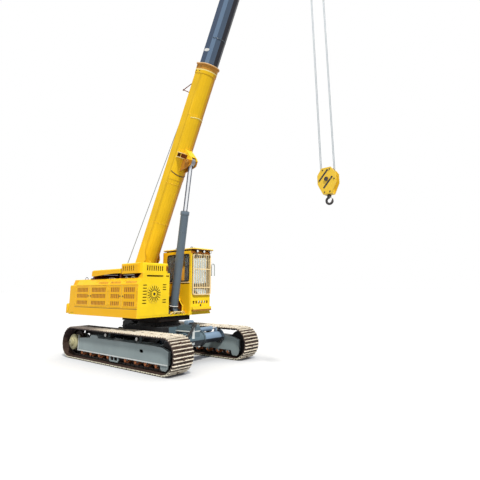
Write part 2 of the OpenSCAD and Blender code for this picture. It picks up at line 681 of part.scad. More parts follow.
module left_shell() difference() {
    union() {
        shell(-cw_x + 10, cab_x0 - 110);
        bx([-cw_x + 10, -side_y - 12, deck_z + 5], [cab_x0 - 110, -side_y + wall, 1520]);
        bx([-cw_x + 10, -side_y - 12, deck_z + 5], [cab_x0 - 110, -side_y + 20, deck_z + deck_t + 1]);
    }
    for (d = doors_l) bx([d[0] - door_gap, -side_y - 20, door_z0 - door_gap],
        [d[1] + door_gap, -side_y + wall + 5, door_z1 + door_gap]);
}

// one side door with its louvres, drawn on the right side
module door(d) color(yellow) {
    difference() {
        bx([d[0], -side_y, door_z0], [d[1], -side_y + door_t, door_z1]);
        for (r = rows) slots(d[0] + 110, d[1] - 110, -side_y - 5, -side_y + door_t + 5, r[0], r[1], 78, 36);
    }
    hinge_halves(d, true);
    // handle near the free edge
    bx([(d[2] == 0 ? d[1] - 90 : d[0] + 50), -side_y - 10, 1755],
        [(d[2] == 0 ? d[1] - 50 : d[0] + 90), -side_y + 2, 1800]);
}

module door_r1() at() door(doors_r[0]);
module door_r2() at() door(doors_r[1]);
module door_r3() at() door(doors_r[2]);
module door_r4() at() door(doors_r[3]);
module door_l1() at() mirror([0, 1, 0]) door(doors_l[0]);
module door_l2() at() mirror([0, 1, 0]) door(doors_l[1]);

module engine_hood() color(yellow) at() difference() {
    union() {
        // round rear end and rolled side edges
        intersection() {
            xz(-hood_y, -slot_y - 6) polygon(concat([[-hood_rear, vent_z], [-hood_split - 8, vent_z],
                [-hood_split - 8, hood_low]],
                [for (i = [0:3]) [-hood_rear + 90 - 90 * sin(i * 30), hood_low - 100 + 90 * cos(i * 30)]]));
            yz(-hood_rear - 1, -hood_split)
                polygon(roll_pts(-hood_y, -slot_y - 6, vent_z - 1, hood_low, 40));
        }
        // outer skirt, deeper towards the rear
        xz(-hood_y, -hood_y + 20)
            polygon([[-hood_rear, vent_z + 5], [-hood_rear, vent_z - 50], [-hood_rear + 30, vent_z - 65],
            [-hood_split - 300, vent_z + 5]]);
        for (y = [-side_y + shoulder_in + 10, -slot_y - 70]) hood_hinge(y, true);
    }
    bx([-hood_rear + 20, -hood_y + 20, vent_z - 1], [-hood_split - 28, -slot_y - 26, hood_low - 75]);
}

module engine_block() color(dark) at() bx([-1560, -1180, deck_z + deck_t + wall], [-420, -480, 2160]);

// hinges of the cab door on its rear edge, the door's halves or the cab's halves
module cab_hinge(own) for (z = [cab_z1 - 1670, cab_z1 - 970, cab_z1 - 310])
    for (k = own ? [[z, 60]] : [[z - 35, 35 - run], [z + 60 + run, 35 - run]]) {
    translate([cab_hinge_x, cab_y1 + 10, k[0]]) cylinder(h = k[1], r = 10);
    bx([own ? cab_hinge_x : cab_hinge_x - 40, cab_y1 - (own ? 1 : 0), k[0]],
        [own ? cab_hinge_x + 40 : cab_hinge_x, cab_y1 + 7, k[0] + k[1]]);
}

// edges that the cab's openings share with the glass and the door
win_top = cab_z1 - head_h;
floor_z = deck_z + deck_t + 60;
door_x0 = cab_hinge_x + 4;
door_x1 = cab_x1 - 108;
// window outlines, each for its opening and its glass
function side_pane() = pane(cab_hinge_x - 64, cab_x1 - 80, side_sill, win_top, win_r);
function front_pane() = pane(cab_y0 + 80, cab_y1 - 80, front_sill, win_top + 20, win_r);
function rear_pane() = pane(cab_y0 + 120, cab_y1 - 120, side_sill + 130, win_top - 40, win_r);
function quarter_pane() = pane(cab_x0 + 90, cab_hinge_x - 64, side_sill + 80, win_top - 40, win_r);
function door_pane() = pane(door_x0 + 102, door_x1 - 92, side_sill - 70, win_top - 50, win_r);
function low_pane() = pane(door_x0 + 102, door_x1 - 92, floor_z + 230, side_sill - 260, win_r);

module cab_shell() color(yellow) at() { cab_hinge(false); cab_box(); }

module cab_box() difference() {
    capped(cab_x0, cab_y0, cab_x1, cab_y1, deck_z + deck_t, cab_z1, 60, 45);
    bx([cab_x0 + cab_t, cab_y0 + cab_t, floor_z], [cab_x1 - cab_t, cab_y1 - cab_t, cab_z1 - cab_t]);
    // inner side window
    xz(cab_y0 - 5, cab_y0 + cab_t + 5) polygon(side_pane());
    // front window
    yz(cab_x1 - cab_t - 5, cab_x1 + 5) polygon(front_pane());
    // rear window
    yz(cab_x0 - 5, cab_x0 + cab_t + 5) polygon(rear_pane());
    // rear quarter window and door opening on the outer side
    xz(cab_y1 - cab_t - 5, cab_y1 + 5) polygon(quarter_pane());
    bx([door_x0 - 8, cab_y1 - cab_t - 5, floor_z + 30], [door_x1 + 8, cab_y1 + 5, win_top + 40]);
    // row of small openings under the front window
    for (i = [0:5]) bx([cab_x1 - cab_t - 5, cab_y0 + 120 + i * 120, front_sill - 290],
        [cab_x1 + 5, cab_y0 + 190 + i * 120, front_sill - 200]);
}

module cab_glass() color([0.6, 0.75, 0.8, 0.5]) at() {
    xz(cab_y0 + 16, cab_y0 + 16 + glass_t) polygon(side_pane());
    yz(cab_x1 - 26, cab_x1 - 26 + glass_t) polygon(front_pane());
    yz(cab_x0 + 16, cab_x0 + 16 + glass_t) polygon(rear_pane());
    xz(cab_y1 - 26, cab_y1 - 26 + glass_t) polygon(quarter_pane());
}

module cab_door() color(yellow) at() {
    difference() {
        bx([door_x0, cab_y1 - 34, floor_z + 40], [door_x1, cab_y1, win_top + 30]);
        xz(cab_y1 - 40, cab_y1 + 5) polygon(door_pane());
        xz(cab_y1 - 40, cab_y1 + 5) polygon(low_pane());
    }
    bx([door_x1 - 72, cab_y1 - 2, side_sill - 210], [door_x1 - 32, cab_y1 + 22, side_sill - 120]);
    cab_hinge(true);
}

module door_glass() color([0.6, 0.75, 0.8, 0.5]) at() {
    xz(cab_y1 - 22, cab_y1 - 22 + glass_t) polygon(door_pane());
    xz(cab_y1 - 22, cab_y1 - 22 + glass_t) polygon(low_pane());
}

module roof_guard() color(yellow) at() {
    capped(cab_x0 + 10, cab_y0 - 10, cab_x1 + 150, cab_y1 + 10, cab_z1 + 25, cab_z1 + 75, 90, 30);
    for (x = [cab_x0 + 150, 400, cab_x1 - 120]) for (y = [cab_y0 + 60, cab_y1 - 120])
        bx([x, y, cab_z1], [x + 60, y + 60, cab_z1 + 30]);
}

module front_guard() color(yellow) at() {
    x0 = cab_x1 + 20;
    g0 = front_sill - 20;
    g1 = win_top + 20;
    bars = floor((cab_y1 - cab_y0 - 200) / 81);
    difference() {
        yz(x0, x0 + 36) polygon(pane(cab_y0 + 70, cab_y1 - 50, g0, g1, 70));
        yz(x0 - 5, x0 + 45) polygon(pane(cab_y0 + 100, cab_y1 - 80, g0 + 30, g1 - 30, 45));
    }
    for (z = [g0 + 220, g1 - 500]) bx([x0 + 4, cab_y0 + 100, z], [x0 + 30, cab_y1 - 80, z + 30]);
    for (i = [1:bars]) bx([x0 + 8, cab_y0 + 100 + i * 81, g0 + 20],
        [x0 + 28, cab_y0 + 116 + i * 81, g1 - 20]);
    // feet that reach the cab
    for (z = [g0 + 20, (g0 + g1) / 2, g1 - 80]) for (y = [cab_y0 + 75, cab_y1 - 85])
        bx([cab_x1, y, z], [x0 + 2, y + 30, z + 50]);
    // bumper step
    bx([cab_x1, cab_y0 + 60, deck_z + 110], [cab_x1 + 90, cab_y1 - 60, deck_z + 230]);
}

module operator_seat() color(dark) at() {
    f = floor_z;
    bx([60, 700, f], [360, 1000, f + 300]);
    bevelled(-10, 600, 480, 1100, f + 300, f + 440, 60);
    translate([0, 0, f + 400]) xz(640, 1060)
        polygon([[-10, 0], [120, 0], [60, 620], [20, 780], [-60, 780], [-80, 640]]);
    // consoles each side
    for (y = [480, 1130]) bx([120, y, f], [520, y + 90, f + 560]);
    for (y = [520, 1170]) translate([460, y, f + 560]) cylinder(h = 160, r = 14);
}

module winch_frame() color(dark) at() {
    both() difference() {
        xz(255, 295) polygon([[winch_x - 330, deck_z + deck_t], [winch_x + 300, deck_z + deck_t],
            [winch_x + 250, winch_z + 60], [winch_x + 120, winch_z + 220],
        [winch_x - 120, winch_z + 220], [winch_x - 260, winch_z + 60]]);
        cy(winch_x, winch_z, 250, 300, shaft_r + run);
    }
    bx([winch_x - 320, -256, deck_z + deck_t], [winch_x + 290, 256, deck_z + deck_t + 60]);
}

module winch_drum() color(steel) at() {
    cy(winch_x, winch_z, -230, 230, drum_r);
    cy(winch_x, winch_z, -300, 300, shaft_r);
    for (y = [-245, 221]) cy(winch_x, winch_z, y, y + 24, drum_r + 85);
}

module handrails() color(grey) at() {
    // upright rail outside the cab door's rear edge
    rail_h = 900;
    translate([cab_x0 + 60, cab_y1 + 55, cab_z1 - 390 - rail_h]) cylinder(h = rail_h, r = 16);
    for (z = [cab_z1 - 1260, cab_z1 - 420]) translate([cab_x0 + 60, cab_y1, z]) rotate([-90, 0, 0])
        cylinder(h = 56, r = 14);
    // rail on the left rear deck
    rail_y = side_y - 215;
    for (x = [-cw_x + 110, cab_x0 - 1100]) translate([x, rail_y, roof_z]) cylinder(h = 420, r = 18);
    translate([-cw_x + 110, rail_y, roof_z + 416]) rotate([0, 90, 0])
        cylinder(h = cw_x + cab_x0 - 1210, r = 18);
    // hooped grab rail at the cab's outer front corner, on two arms
    for (y = [cab_y1 + 40, cab_y1 + 180]) translate([cab_x1, y, cab_z1 - 800]) cylinder(h = 330, r = 14);
    intersection() {
        translate([cab_x1, cab_y1 + 110, cab_z1 - 471]) rotate([0, 90, 0]) rotate_extrude()
            translate([70, 0]) circle(r = 14);
        bx([cab_x1 - 30, cab_y1, cab_z1 - 471], [cab_x1 + 30, cab_y1 + 250, cab_z1 - 300]);
    }
    for (z = [cab_z1 - 780, cab_z1 - 520]) {
        translate([cab_x1 - 84, cab_y1, z]) rotate([-90, 0, 0]) cylinder(h = 44, r = 12);
        translate([cab_x1 - 94, cab_y1 + 40, z]) rotate([0, 90, 0]) cylinder(h = 94, r = 12);
    }
}

module boom_base() color(yellow) boom_at() {
    belly = base_top - base_d;
    tube(480, base_end, base_w, base_d, base_top, round_n);
    pads(base_end - 140, base_end - 30, base_w, base_d, base_top, round_n);
    // rear bulkhead
    yz(480, 500) polygon(u_pts(base_w - 10, base_d - 10, base_top - 5, 28, round_n));
    // foot lugs and pin
    both() xz(150, 205) polygon([[-150, -60], [-60, -150], [60, -150], [500, -210], [500, 300], [200, 240],
        [-60, 150], [-150, 60]]);
    cy(0, 0, -296, 296, foot_pin_r);
    // collar and flared ring at the front end
    difference() {
        yz(base_end - 330, base_end - 40)
            polygon(u_pts(base_w + 24, base_d + 24, base_top + 12, 36, round_n));
        yz(base_end - 340, base_end - 30) polygon(u_pts(base_w - 4, base_d - 4, base_top - 2, 30, round_n));
    }
    difference() {
        yz(base_end - 44, base_end) polygon(u_pts(base_w + 90, base_d + 90, base_top + 45, 60, round_n));
        yz(base_end - 50, base_end + 5) polygon(u_pts(base_w - 4, base_d - 4, base_top - 2, 30, round_n));
    }
    // doubler under the belly at the cylinder's bracket
    difference() {
        yz(eye_s - 720, eye_s + 1480) polygon(u_pts(base_w + 16, base_d + 16, base_top + 8, 36, round_n));
        yz(eye_s - 730, eye_s + 1490) polygon(u_pts(base_w - 4, base_d - 4, base_top - 2, 30, round_n));
        bx([eye_s - 730, -base_w, -20], [eye_s + 1490, base_w, base_top + 50]);
    }
    // saddle box over the bracket, with a pocket in each end
    difference() {
        bx([eye_s + 30, -base_w / 2 - 12, belly - 60], [eye_s + 200, base_w / 2 + 12, -70]);
        for (s = [-1, 1]) bx([eye_s + 52, s * (base_w / 2 - 40) - 60, belly - 38],
            [eye_s + 178, s * (base_w / 2 - 40) + 60, -110]);
        yz(eye_s, eye_s + 230) polygon(u_pts(base_w - 4, base_d - 4, base_top - 2, 30, round_n));
        // left open between the ears, where the rod's eye moves
        bx([eye_s, -99, belly - 70], [eye_s + 210, 99, belly - 4]);
    }
    // ears for the rod eye with bosses on their outer faces, closed by a slanting front plate
    both() {
        xz(98, 140) polygon([[eye_s - 420, belly + 30], [eye_s + 360, belly + 30],
            [eye_s + 170, eye_n - 60], [eye_s + 90, eye_n - 150], [eye_s - 90, eye_n - 150],
            [eye_s - 170, eye_n - 60]]);
        cy(eye_s, eye_n, 138, 185, 90);
    }
    xz(-99, 99) polygon([[eye_s + 360, belly + 30], [eye_s + 170, eye_n - 60], [eye_s + 155, eye_n - 50],
        [eye_s + 338, belly + 30]]);
    // open bracket on the top face, with a keeper bar at its tip and the rope's roller at its foot
    both() xz(60, 80) difference() {
        polygon([[6750, base_top - 4], [7090, base_top - 4], [6885, base_top + 250],
            [6835, base_top + 250]]);
        polygon([[6785, base_top + 14], [7050, base_top + 14], [6862, base_top + 225]]);
    }
    cy(6860, base_top + 236, -62, 62, 11);
    cy(6860, base_top + 26, -62, 62, 20);
}

module boom_fly1() color(slate) boom_at() {
    tube(fly1_end - fly_len, fly1_end, f1_w, f1_d, f1_top, fly_n);
    pads(fly1_end - 130, fly1_end - 20, f1_w, f1_d, f1_top, fly_n);
    difference() {
        yz(fly1_end - 60, fly1_end) polygon(u_pts(f1_w + 70, f1_d + 70, f1_top + 35, 50, fly_n));
        yz(fly1_end - 70, fly1_end + 5) polygon(u_pts(f1_w - 4, f1_d - 4, f1_top - 2, 30, fly_n));
    }
}

module boom_fly2() color(slate) boom_at() {
    tube(fly2_end - fly_len + 150, fly2_end, f2_w, f2_d, f2_top, fly_n);
    // head plates that carry the sheaves
    both() difference() {
        xz(150, 185) union() {
            polygon([[fly2_end + 30, f2_top - f2_d + 110], [fly2_end - 150, f2_top - f2_d + 140],
                [fly2_end - 150, f2_top - 20], [fly2_end + 520, f2_top - 40], [fly2_end + 620, 60],
                [head_s + 190, head_n - 60], [head_s - 60, head_n - 190], [head_s - 190, head_n - 100]]);
            translate([head_s, head_n]) circle(r = head_plate_r);
        }
        // jib pin bores
        cy(fly2_end + 460, 130, 140, 195, 32);
        cy(fly2_end + 180, f2_top - 90, 140, 195, 32);
    }
    // end plate and spacers
    difference() {
        yz(fly2_end - 20, fly2_end) polygon(u_pts(f2_w, f2_d, f2_top, 30, fly_n));
        bx([fly2_end - 30, -90, -60], [fly2_end + 5, 90, 120]);
    }
    cy(fly2_end + 330, 20, -152, 152, 40);
    // shaft of the head sheaves
    cy(head_s, head_n, -186, 186, 45);
}

// places of the sheaves across the machine, the inner two carry the falls
sheave_y = [-90, -30, 30, 90];
// a grooved rope sheave about the Y axis
module sheave(x, z, y) {
    for (s = [-20, 10]) cy(x, z, y + s, y + s + 10, sheave_r);
    cy(x, z, y - 12, y + 12, sheave_r - 12);
}

module head_sheaves() color(dark) boom_at() difference() {
    union() {
        for (y = sheave_y) sheave(head_s, head_n, y);
        cy(head_s, head_n, -118, 118, 80);
    }
    cy(head_s, head_n, -140, 140, 45 + run);
}

module luff_barrel() color(grey) cyl_at() {
    difference() {
        union() {
            rotate([0, 90, 0]) translate([0, 0, 140]) cylinder(h = barrel_l - 140, r = barrel_d / 2);
            rotate([0, 90, 0]) translate([0, 0, barrel_l - 110]) cylinder(h = 110, r = barrel_d / 2 + 14);
            cy(0, 0, -85, 85, 113);
            bx([0, -85, -90], [170, 85, 90]);
        }
        rotate([0, 90, 0]) translate([0, 0, 260]) cylinder(h = barrel_l - 370, r = barrel_d / 2 - barrel_w);
        rotate([0, 90, 0]) translate([0, 0, barrel_l - 120]) cylinder(h = 130, r = rod_d / 2 + run);
    }
    cy(0, 0, -152, 152, cyl_pin_r);
}

module luff_rod() color(steel) cyl_at() {
    rotate([0, 90, 0]) translate([0, 0, cyl_l - rod_l]) cylinder(h = rod_l - 100, r = rod_d / 2);
    // piston with its ring
    rotate([0, 90, 0]) translate([0, 0, cyl_l - rod_l]) cylinder(h = 120, r = barrel_d / 2 - barrel_w - 2);
    difference() {
        cy(cyl_l, 0, -80, 80, 130);
        cy(cyl_l, 0, -85, 85, 50);
    }
}

// rope falls between the head sheaves and the hook block
fall_x = sheave_r - 12 + rope_r + run;
falls = [[-fall_x, -30], [fall_x, -30], [-fall_x, 30], [fall_x, 30]];
module rope_falls() color(steel) at() for (f = falls)
    translate([hx + f[0], f[1], block_z + 40]) cylinder(h = hz - block_z - 40, r = rope_r);

module hook_block() color(yellow) at() translate([hx, 0, block_z]) {
    both() xz(70, 96) polygon([[-block_w / 2, block_h / 2 - 170], [-block_w / 2 + 120, block_h / 2],
        [block_w / 2 - 120, block_h / 2], [block_w / 2, block_h / 2 - 170],
        [block_w / 2, -60], [110, -block_h / 2], [-110, -block_h / 2], [-block_w / 2, -60]]);
    bx([-110, -72, -block_h / 2], [110, 72, -block_h / 2 + 110]);
    for (y = [-30, 30]) sheave(0, 40, y);
    cy(0, 40, -110, 110, 40);
    bx([-60, -72, block_h / 2 - 60], [60, 72, block_h / 2 - 30]);
}

module hook() color(dark) at() translate([hx, 0, block_z - block_h / 2]) {
    // shank, nut, neck, bowl and point
    translate([0, 0, -70]) cylinder(h = 70 - run, r = 34);
    translate([0, 0, -45]) cylinder(h = 26, r = 52);
    translate([0, 0, -70 - bowl_r - hook_r]) rotate([90, 0, 0]) {
        rotate([0, 0, 90]) rotate_extrude(angle = 262) translate([bowl_r + hook_r, 0]) circle(r = hook_r);
        rotate([0, 0, -8]) translate([bowl_r + hook_r, -4, 0]) rotate([-90, 0, 0])
            cylinder(h = 46, r1 = hook_r - 1, r2 = hook_r * 0.5);
        rotate([0, 0, -8]) translate([bowl_r + hook_r, 42, 0]) sphere(r = hook_r * 0.5);
    }
}

carbody();
cross_tubes();
track_frames();
track_left();
track_right();
bottom_rollers();
carrier_rollers();
idlers();
sprockets();
final_drives();
slew_ring();
turntable_frame();
counterweight();
right_cabinet();
left_cabinet();
front_vent();
engine_hood();
door_r1();
door_r2();
door_r3();
door_r4();
door_l1();
door_l2();
engine_block();
cab_shell();
cab_glass();
cab_door();
door_glass();
roof_guard();
front_guard();
operator_seat();
winch_frame();
winch_drum();
handrails();
boom_base();
boom_fly1();
boom_fly2();
head_sheaves();
luff_barrel();
luff_rod();
rope_falls();
hook_block();
hook();
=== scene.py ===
import bpy
import json
import math
from mathutils import Matrix, Vector


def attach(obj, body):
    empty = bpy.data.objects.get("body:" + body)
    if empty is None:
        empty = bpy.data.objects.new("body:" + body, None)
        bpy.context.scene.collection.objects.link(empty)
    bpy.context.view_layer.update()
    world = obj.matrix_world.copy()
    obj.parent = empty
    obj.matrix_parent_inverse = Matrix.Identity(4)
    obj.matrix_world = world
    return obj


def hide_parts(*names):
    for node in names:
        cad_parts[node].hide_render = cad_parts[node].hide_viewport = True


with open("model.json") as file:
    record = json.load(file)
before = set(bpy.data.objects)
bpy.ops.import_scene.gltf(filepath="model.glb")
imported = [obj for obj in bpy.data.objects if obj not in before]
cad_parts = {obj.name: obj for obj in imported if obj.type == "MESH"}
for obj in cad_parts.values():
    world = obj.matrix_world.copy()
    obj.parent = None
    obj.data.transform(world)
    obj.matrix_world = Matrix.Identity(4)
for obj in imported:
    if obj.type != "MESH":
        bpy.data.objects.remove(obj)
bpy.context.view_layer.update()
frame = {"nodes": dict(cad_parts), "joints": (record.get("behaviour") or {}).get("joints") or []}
nodes = frame["nodes"]
scene = bpy.context.scene

# Places taken from the record

joint_by_name = {joint["name"]: joint for joint in frame["joints"]}


def pin_of(joint_name):
    return Vector(joint_by_name[joint_name]["pos_m"])


SLEW_X = pin_of("slew").x
FOOT = pin_of("luff")
HEAD = pin_of("head_sheaves_turn")
ALONG = Vector(joint_by_name["telescope_one"]["axis"]).normalized()
UPWARD = Vector((-ALONG.z, 0, ALONG.x))
BARREL_FOOT = pin_of("cylinder_foot")
ROD_ALONG = Vector(joint_by_name["cylinder_rod"]["axis"]).normalized()
ROD_ACROSS = Vector((-ROD_ALONG.z, 0, ROD_ALONG.x))
WINCH = pin_of("winch_turn")
BLOCK_Z = 4.55
SIDES = (("left", 1), ("right", -1))


def on_machine(x, y, z):
    """A point given from the slew axis, x forward."""
    return Vector((SLEW_X + x, y, z))


def on_boom(s, n, y=0.0):
    """A point s along the boom from its foot pin and n above the foot's axis line."""
    return FOOT + ALONG * s + UPWARD * n + Vector((0, y, 0))


def on_cylinder(s, n, y=0.0):
    """A point s along the lifting cylinder from its foot pin, n towards the boom."""
    return BARREL_FOOT + ROD_ALONG * s + ROD_ACROSS * n + Vector((0, y, 0))


# Modelling helpers


def deselect():
    if bpy.context.mode != "OBJECT":
        bpy.ops.object.mode_set(mode="OBJECT")
    bpy.ops.object.select_all(action="DESELECT")


def pick(piece):
    deselect()
    piece.select_set(True)
    bpy.context.view_layer.objects.active = piece


def settle(piece):
    """Applies the piece's own place, turn and scale, so that its object sits at the origin."""
    pick(piece)
    bpy.ops.object.transform_apply(location=True, rotation=True, scale=True)
    return piece


def bevel_all(piece, width, segments=2):
    pick(piece)
    bpy.ops.object.mode_set(mode="EDIT")
    bpy.ops.mesh.select_all(action="SELECT")
    bpy.ops.mesh.bevel(offset=width, segments=segments, affect="EDGES", clamp_overlap=True)
    bpy.ops.object.mode_set(mode="OBJECT")


def choose_faces(piece, test):
    """Goes into edit mode with only the faces selected for which test(centre, normal) is true."""
    pick(piece)
    bpy.ops.object.mode_set(mode="EDIT")
    bpy.ops.mesh.select_mode(type="FACE")
    bpy.ops.mesh.select_all(action="DESELECT")
    bpy.ops.object.mode_set(mode="OBJECT")
    for face in piece.data.polygons:
        face.select = bool(test(face.center, face.normal))
    bpy.ops.object.mode_set(mode="EDIT")


SQUARE_ON = 0.9


def looks(way):
    """A test for the faces that look along a way."""
    way = Vector(way)
    return lambda centre, normal: normal.dot(way) > SQUARE_ON


top_face, bottom_face, front_face, rear_face = (
    looks(way) for way in ((0, 0, 1), (0, 0, -1), (1, 0, 0), (-1, 0, 0))
)


def side_faces(centre, normal):
    return abs(normal.y) > SQUARE_ON


def end_faces(centre, normal):
    return abs(normal.x) > SQUARE_ON


def block(first, second, bevel=0.004, segments=2):
    """A box between two corners with its edges bevelled."""
    deselect()
    low = Vector([min(a, b) for a, b in zip(first, second)])
    high = Vector([max(a, b) for a, b in zip(first, second)])
    bpy.ops.mesh.primitive_cube_add(size=1, location=(low + high) / 2)
    piece = bpy.context.object
    piece.scale = high - low
    settle(piece)
    if bevel:
        bevel_all(piece, bevel, segments)
    return piece


def bar(start, end, radius, sides=16, bevel=0.0, segments=2):
    """A round bar between two points, its end rims bevelled."""
    deselect()
    start, end = Vector(start), Vector(end)
    way = (end - start).normalized()
    bpy.ops.mesh.primitive_cylinder_add(
        vertices=sides, radius=radius, depth=(end - start).length, location=(start + end) / 2,
    )
    piece = bpy.context.object
    piece.rotation_mode = "QUATERNION"
    piece.rotation_quaternion = way.to_track_quat("Z", "Y")
    settle(piece)
    if bevel:
        choose_faces(piece, lambda centre, normal: abs(normal.dot(way)) > SQUARE_ON)
        bpy.ops.mesh.region_to_loop()
        bpy.ops.mesh.bevel(offset=bevel, segments=segments, affect="EDGES", clamp_overlap=True)
        bpy.ops.object.mode_set(mode="OBJECT")
    return piece


def hoop(centre, axis, radius, thickness, sides=28, minor=8):
    deselect()
    bpy.ops.mesh.primitive_torus_add(
        location=centre, major_radius=radius, minor_radius=thickness, major_segments=sides,
        minor_segments=minor,
    )
    piece = bpy.context.object
    piece.rotation_mode = "QUATERNION"
    piece.rotation_quaternion = Vector(axis).to_track_quat("Z", "Y")
    return settle(piece)


def inset(piece, test, thickness, depth=0.0):
    choose_faces(piece, test)
    bpy.ops.mesh.inset(thickness=thickness, depth=depth)
    bpy.ops.object.mode_set(mode="OBJECT")


def extrude(piece, test, way):
    choose_faces(piece, test)
    bpy.ops.mesh.extrude_region_move(TRANSFORM_OT_translate={"value": tuple(way)})
    bpy.ops.object.mode_set(mode="OBJECT")


def narrow(piece, test, factor, centre):
    """Scales the chosen faces about a point."""
    choose_faces(piece, test)
    bpy.ops.transform.resize(value=factor, center_override=tuple(centre))
    bpy.ops.object.mode_set(mode="OBJECT")


def shift(piece, test, way):
    """Moves the chosen faces."""
    choose_faces(piece, test)
    bpy.ops.transform.translate(value=tuple(way))
    bpy.ops.object.mode_set(mode="OBJECT")


def cut(piece, point, outward):
    """Cuts away what lies beyond a plane and closes the cut."""
    pick(piece)
    bpy.ops.object.mode_set(mode="EDIT")
    bpy.ops.mesh.select_all(action="SELECT")
    bpy.ops.mesh.bisect(plane_co=point, plane_no=outward, use_fill=True, clear_outer=True)
    bpy.ops.object.mode_set(mode="OBJECT")


def tapered(low, high, test, factor, centre, bevel, segments):
    """A box narrowed at the chosen faces about a point, then bevelled."""
    piece = block(low, high, 0)
    narrow(piece, test, factor, centre)
    bevel_all(piece, bevel, segments)
    return piece


def panelled(low, high, test, rim, depth, bevel, segments):
    """A box whose chosen faces have a rim round a sunk or raised panel, then bevelled."""
    piece = block(low, high, 0)
    inset(piece, test, rim, depth)
    bevel_all(piece, bevel, segments)
    return piece


def dished(start, end, radius, sides, bevel, rim, depth):
    """A round bar whose end face has a rim round a sunk or raised middle."""
    piece = bar(start, end, radius, sides, bevel)
    inset(piece, looks((Vector(end) - Vector(start)).normalized()), rim, depth)
    return piece


def slab(first, second, bevel=0.004, segments=2):
    """A block between two corners given from the slew axis."""
    return block(on_machine(*first), on_machine(*second), bevel, segments)


def place_by(piece, origin, x_way, y_way, z_way):
    """Puts a piece that was modelled at the origin into the machine by the ways of its three axes."""
    columns = [(*x_way, 0), (*y_way, 0), (*z_way, 0), (*origin, 1)]
    piece.matrix_world = Matrix(columns).transposed()
    return settle(piece)


def copy_at(piece, matrix):
    twin = piece.copy()
    twin.data = piece.data.copy()
    twin.matrix_world = matrix
    scene.collection.objects.link(twin)
    return twin


def spread(pattern, places, axis=(0, 0, 1), spin=0.0):
    """Copies a pattern modelled at the origin, standing on z = 0, to each place along an axis."""
    turn = Vector(axis).to_track_quat("Z", "Y").to_matrix().to_4x4() @ Matrix.Rotation(spin, 4, "Z")
    copies = [copy_at(pattern, Matrix.Translation(Vector(place)) @ turn) for place in places]
    bpy.data.objects.remove(pattern)
    return copies


def merged(name, parts):
    """Joins the parts into one piece at the origin."""
    deselect()
    for part in parts:
        part.select_set(True)
    bpy.context.view_layer.objects.active = parts[0]
    if len(parts) > 1:
        bpy.ops.object.join()
    piece = bpy.context.view_layer.objects.active
    piece.name = name
    piece.data.name = name
    return settle(piece)


def dress(name, parts, material, body, smooth=35):
    """Joins the parts of a finished piece, gives it its material and lets it ride on its body."""
    piece = merged(name, parts)
    pick(piece)
    bpy.ops.object.shade_smooth_by_angle(angle=math.radians(smooth))
    piece.data.materials.clear()
    piece.data.materials.append(material)
    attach(piece, body)
    return piece


def pipe(points, radius, sides=8):
    """A smooth pipe through the points, its ends closed."""
    deselect()
    bpy.ops.curve.primitive_bezier_curve_add()
    line = bpy.context.object
    line.location = (0, 0, 0)
    line.data.splines.clear()
    spline = line.data.splines.new("POLY" if len(points) < 3 else "NURBS")
    spline.points.add(len(points) - 1)
    for knot, point in zip(spline.points, points):
        knot.co = (*point, 1)
    if spline.type == "NURBS":
        spline.use_endpoint_u = True
        spline.order_u = 3
    line.data.dimensions = "3D"
    line.data.resolution_u = 6
    line.data.bevel_depth = radius
    line.data.bevel_resolution = max(1, sides // 4)
    line.data.use_fill_caps = True
    bpy.ops.object.convert(target="MESH")
    return settle(bpy.context.object)


def bolts(places, axis, radius, height):
    """Hexagon heads on washers: one is modelled and copied to each place."""
    head = bar((0, 0, 0), (0, 0, height), radius, 6)
    inset(head, top_face, radius * 0.18)
    shift(head, top_face, (0, 0, height * 0.12))
    washer = bar((0, 0, 0), (0, 0, height * 0.25), radius * 1.35, 14)
    inset(washer, top_face, radius * 0.12)
    one = merged("bolt", [head, washer])
    return spread(one, places, axis)


def circle_of(centre, axis, radius, count, start=0.0):
    """Places on a circle about an axis."""
    turn = Vector(axis).to_track_quat("Z", "Y").to_matrix()
    steps = [start + 2 * math.pi * index / count for index in range(count)]
    return [Vector(centre) + turn @ Vector((radius * math.cos(a), radius * math.sin(a), 0)) for a in steps]


def bolt_ring(centre, axis, radius, count, head, height, start=0.0):
    return bolts(circle_of(centre, axis, radius, count, start), axis, head, height)


def hose(points, radius):
    """A pipe through points given from the slew axis."""
    return pipe([on_machine(*point) for point in points], radius)


def rounded_frame(low, high, across, thickness, face, radius=0.068):
    """A window gasket round a rounded rectangle. across names the plane's normal axis, x or y."""
    points = []
    for corner_u, corner_v, start in ((1, 1, 0), (0, 1, 90), (0, 0, 180), (1, 0, 270)):
        cu = high[0] - radius if corner_u else low[0] + radius
        cv = high[1] - radius if corner_v else low[1] + radius
        for step in range(5):
            angle = math.radians(start + step * 22.5)
            points.append((cu + radius * math.cos(angle), cv + radius * math.sin(angle)))
    points.append(points[0])
    return hose([(face, u, v) if across == "x" else (u, face, v) for u, v in points], thickness)


# Materials


def new_material(name):
    made = bpy.data.materials.new(name)
    made.use_nodes = True
    tree = made.node_tree
    return made, tree, tree.nodes["Principled BSDF"]


def lead(tree, shader, socket, value):
    tree.links.new(value, shader.inputs[socket])


def node(tree, kind, **values):
    made = tree.nodes.new(kind)
    for key, value in values.items():
        if key in made.inputs.keys():
            made.inputs[key].default_value = value
        else:
            setattr(made, key, value)
    return made


def object_noise(tree, scale, detail=4.0, roughness=0.55, stretch=(1, 1, 1)):
    """Noise on Object coordinates, in cells per metre."""
    place = node(tree, "ShaderNodeTexCoord")
    mapping = node(tree, "ShaderNodeMapping")
    mapping.inputs["Scale"].default_value = stretch
    noise = node(tree, "ShaderNodeTexNoise", Scale=scale, Detail=detail, Roughness=roughness)
    tree.links.new(place.outputs["Object"], mapping.inputs["Vector"])
    tree.links.new(mapping.outputs["Vector"], noise.inputs["Vector"])
    return noise.outputs["Fac"]


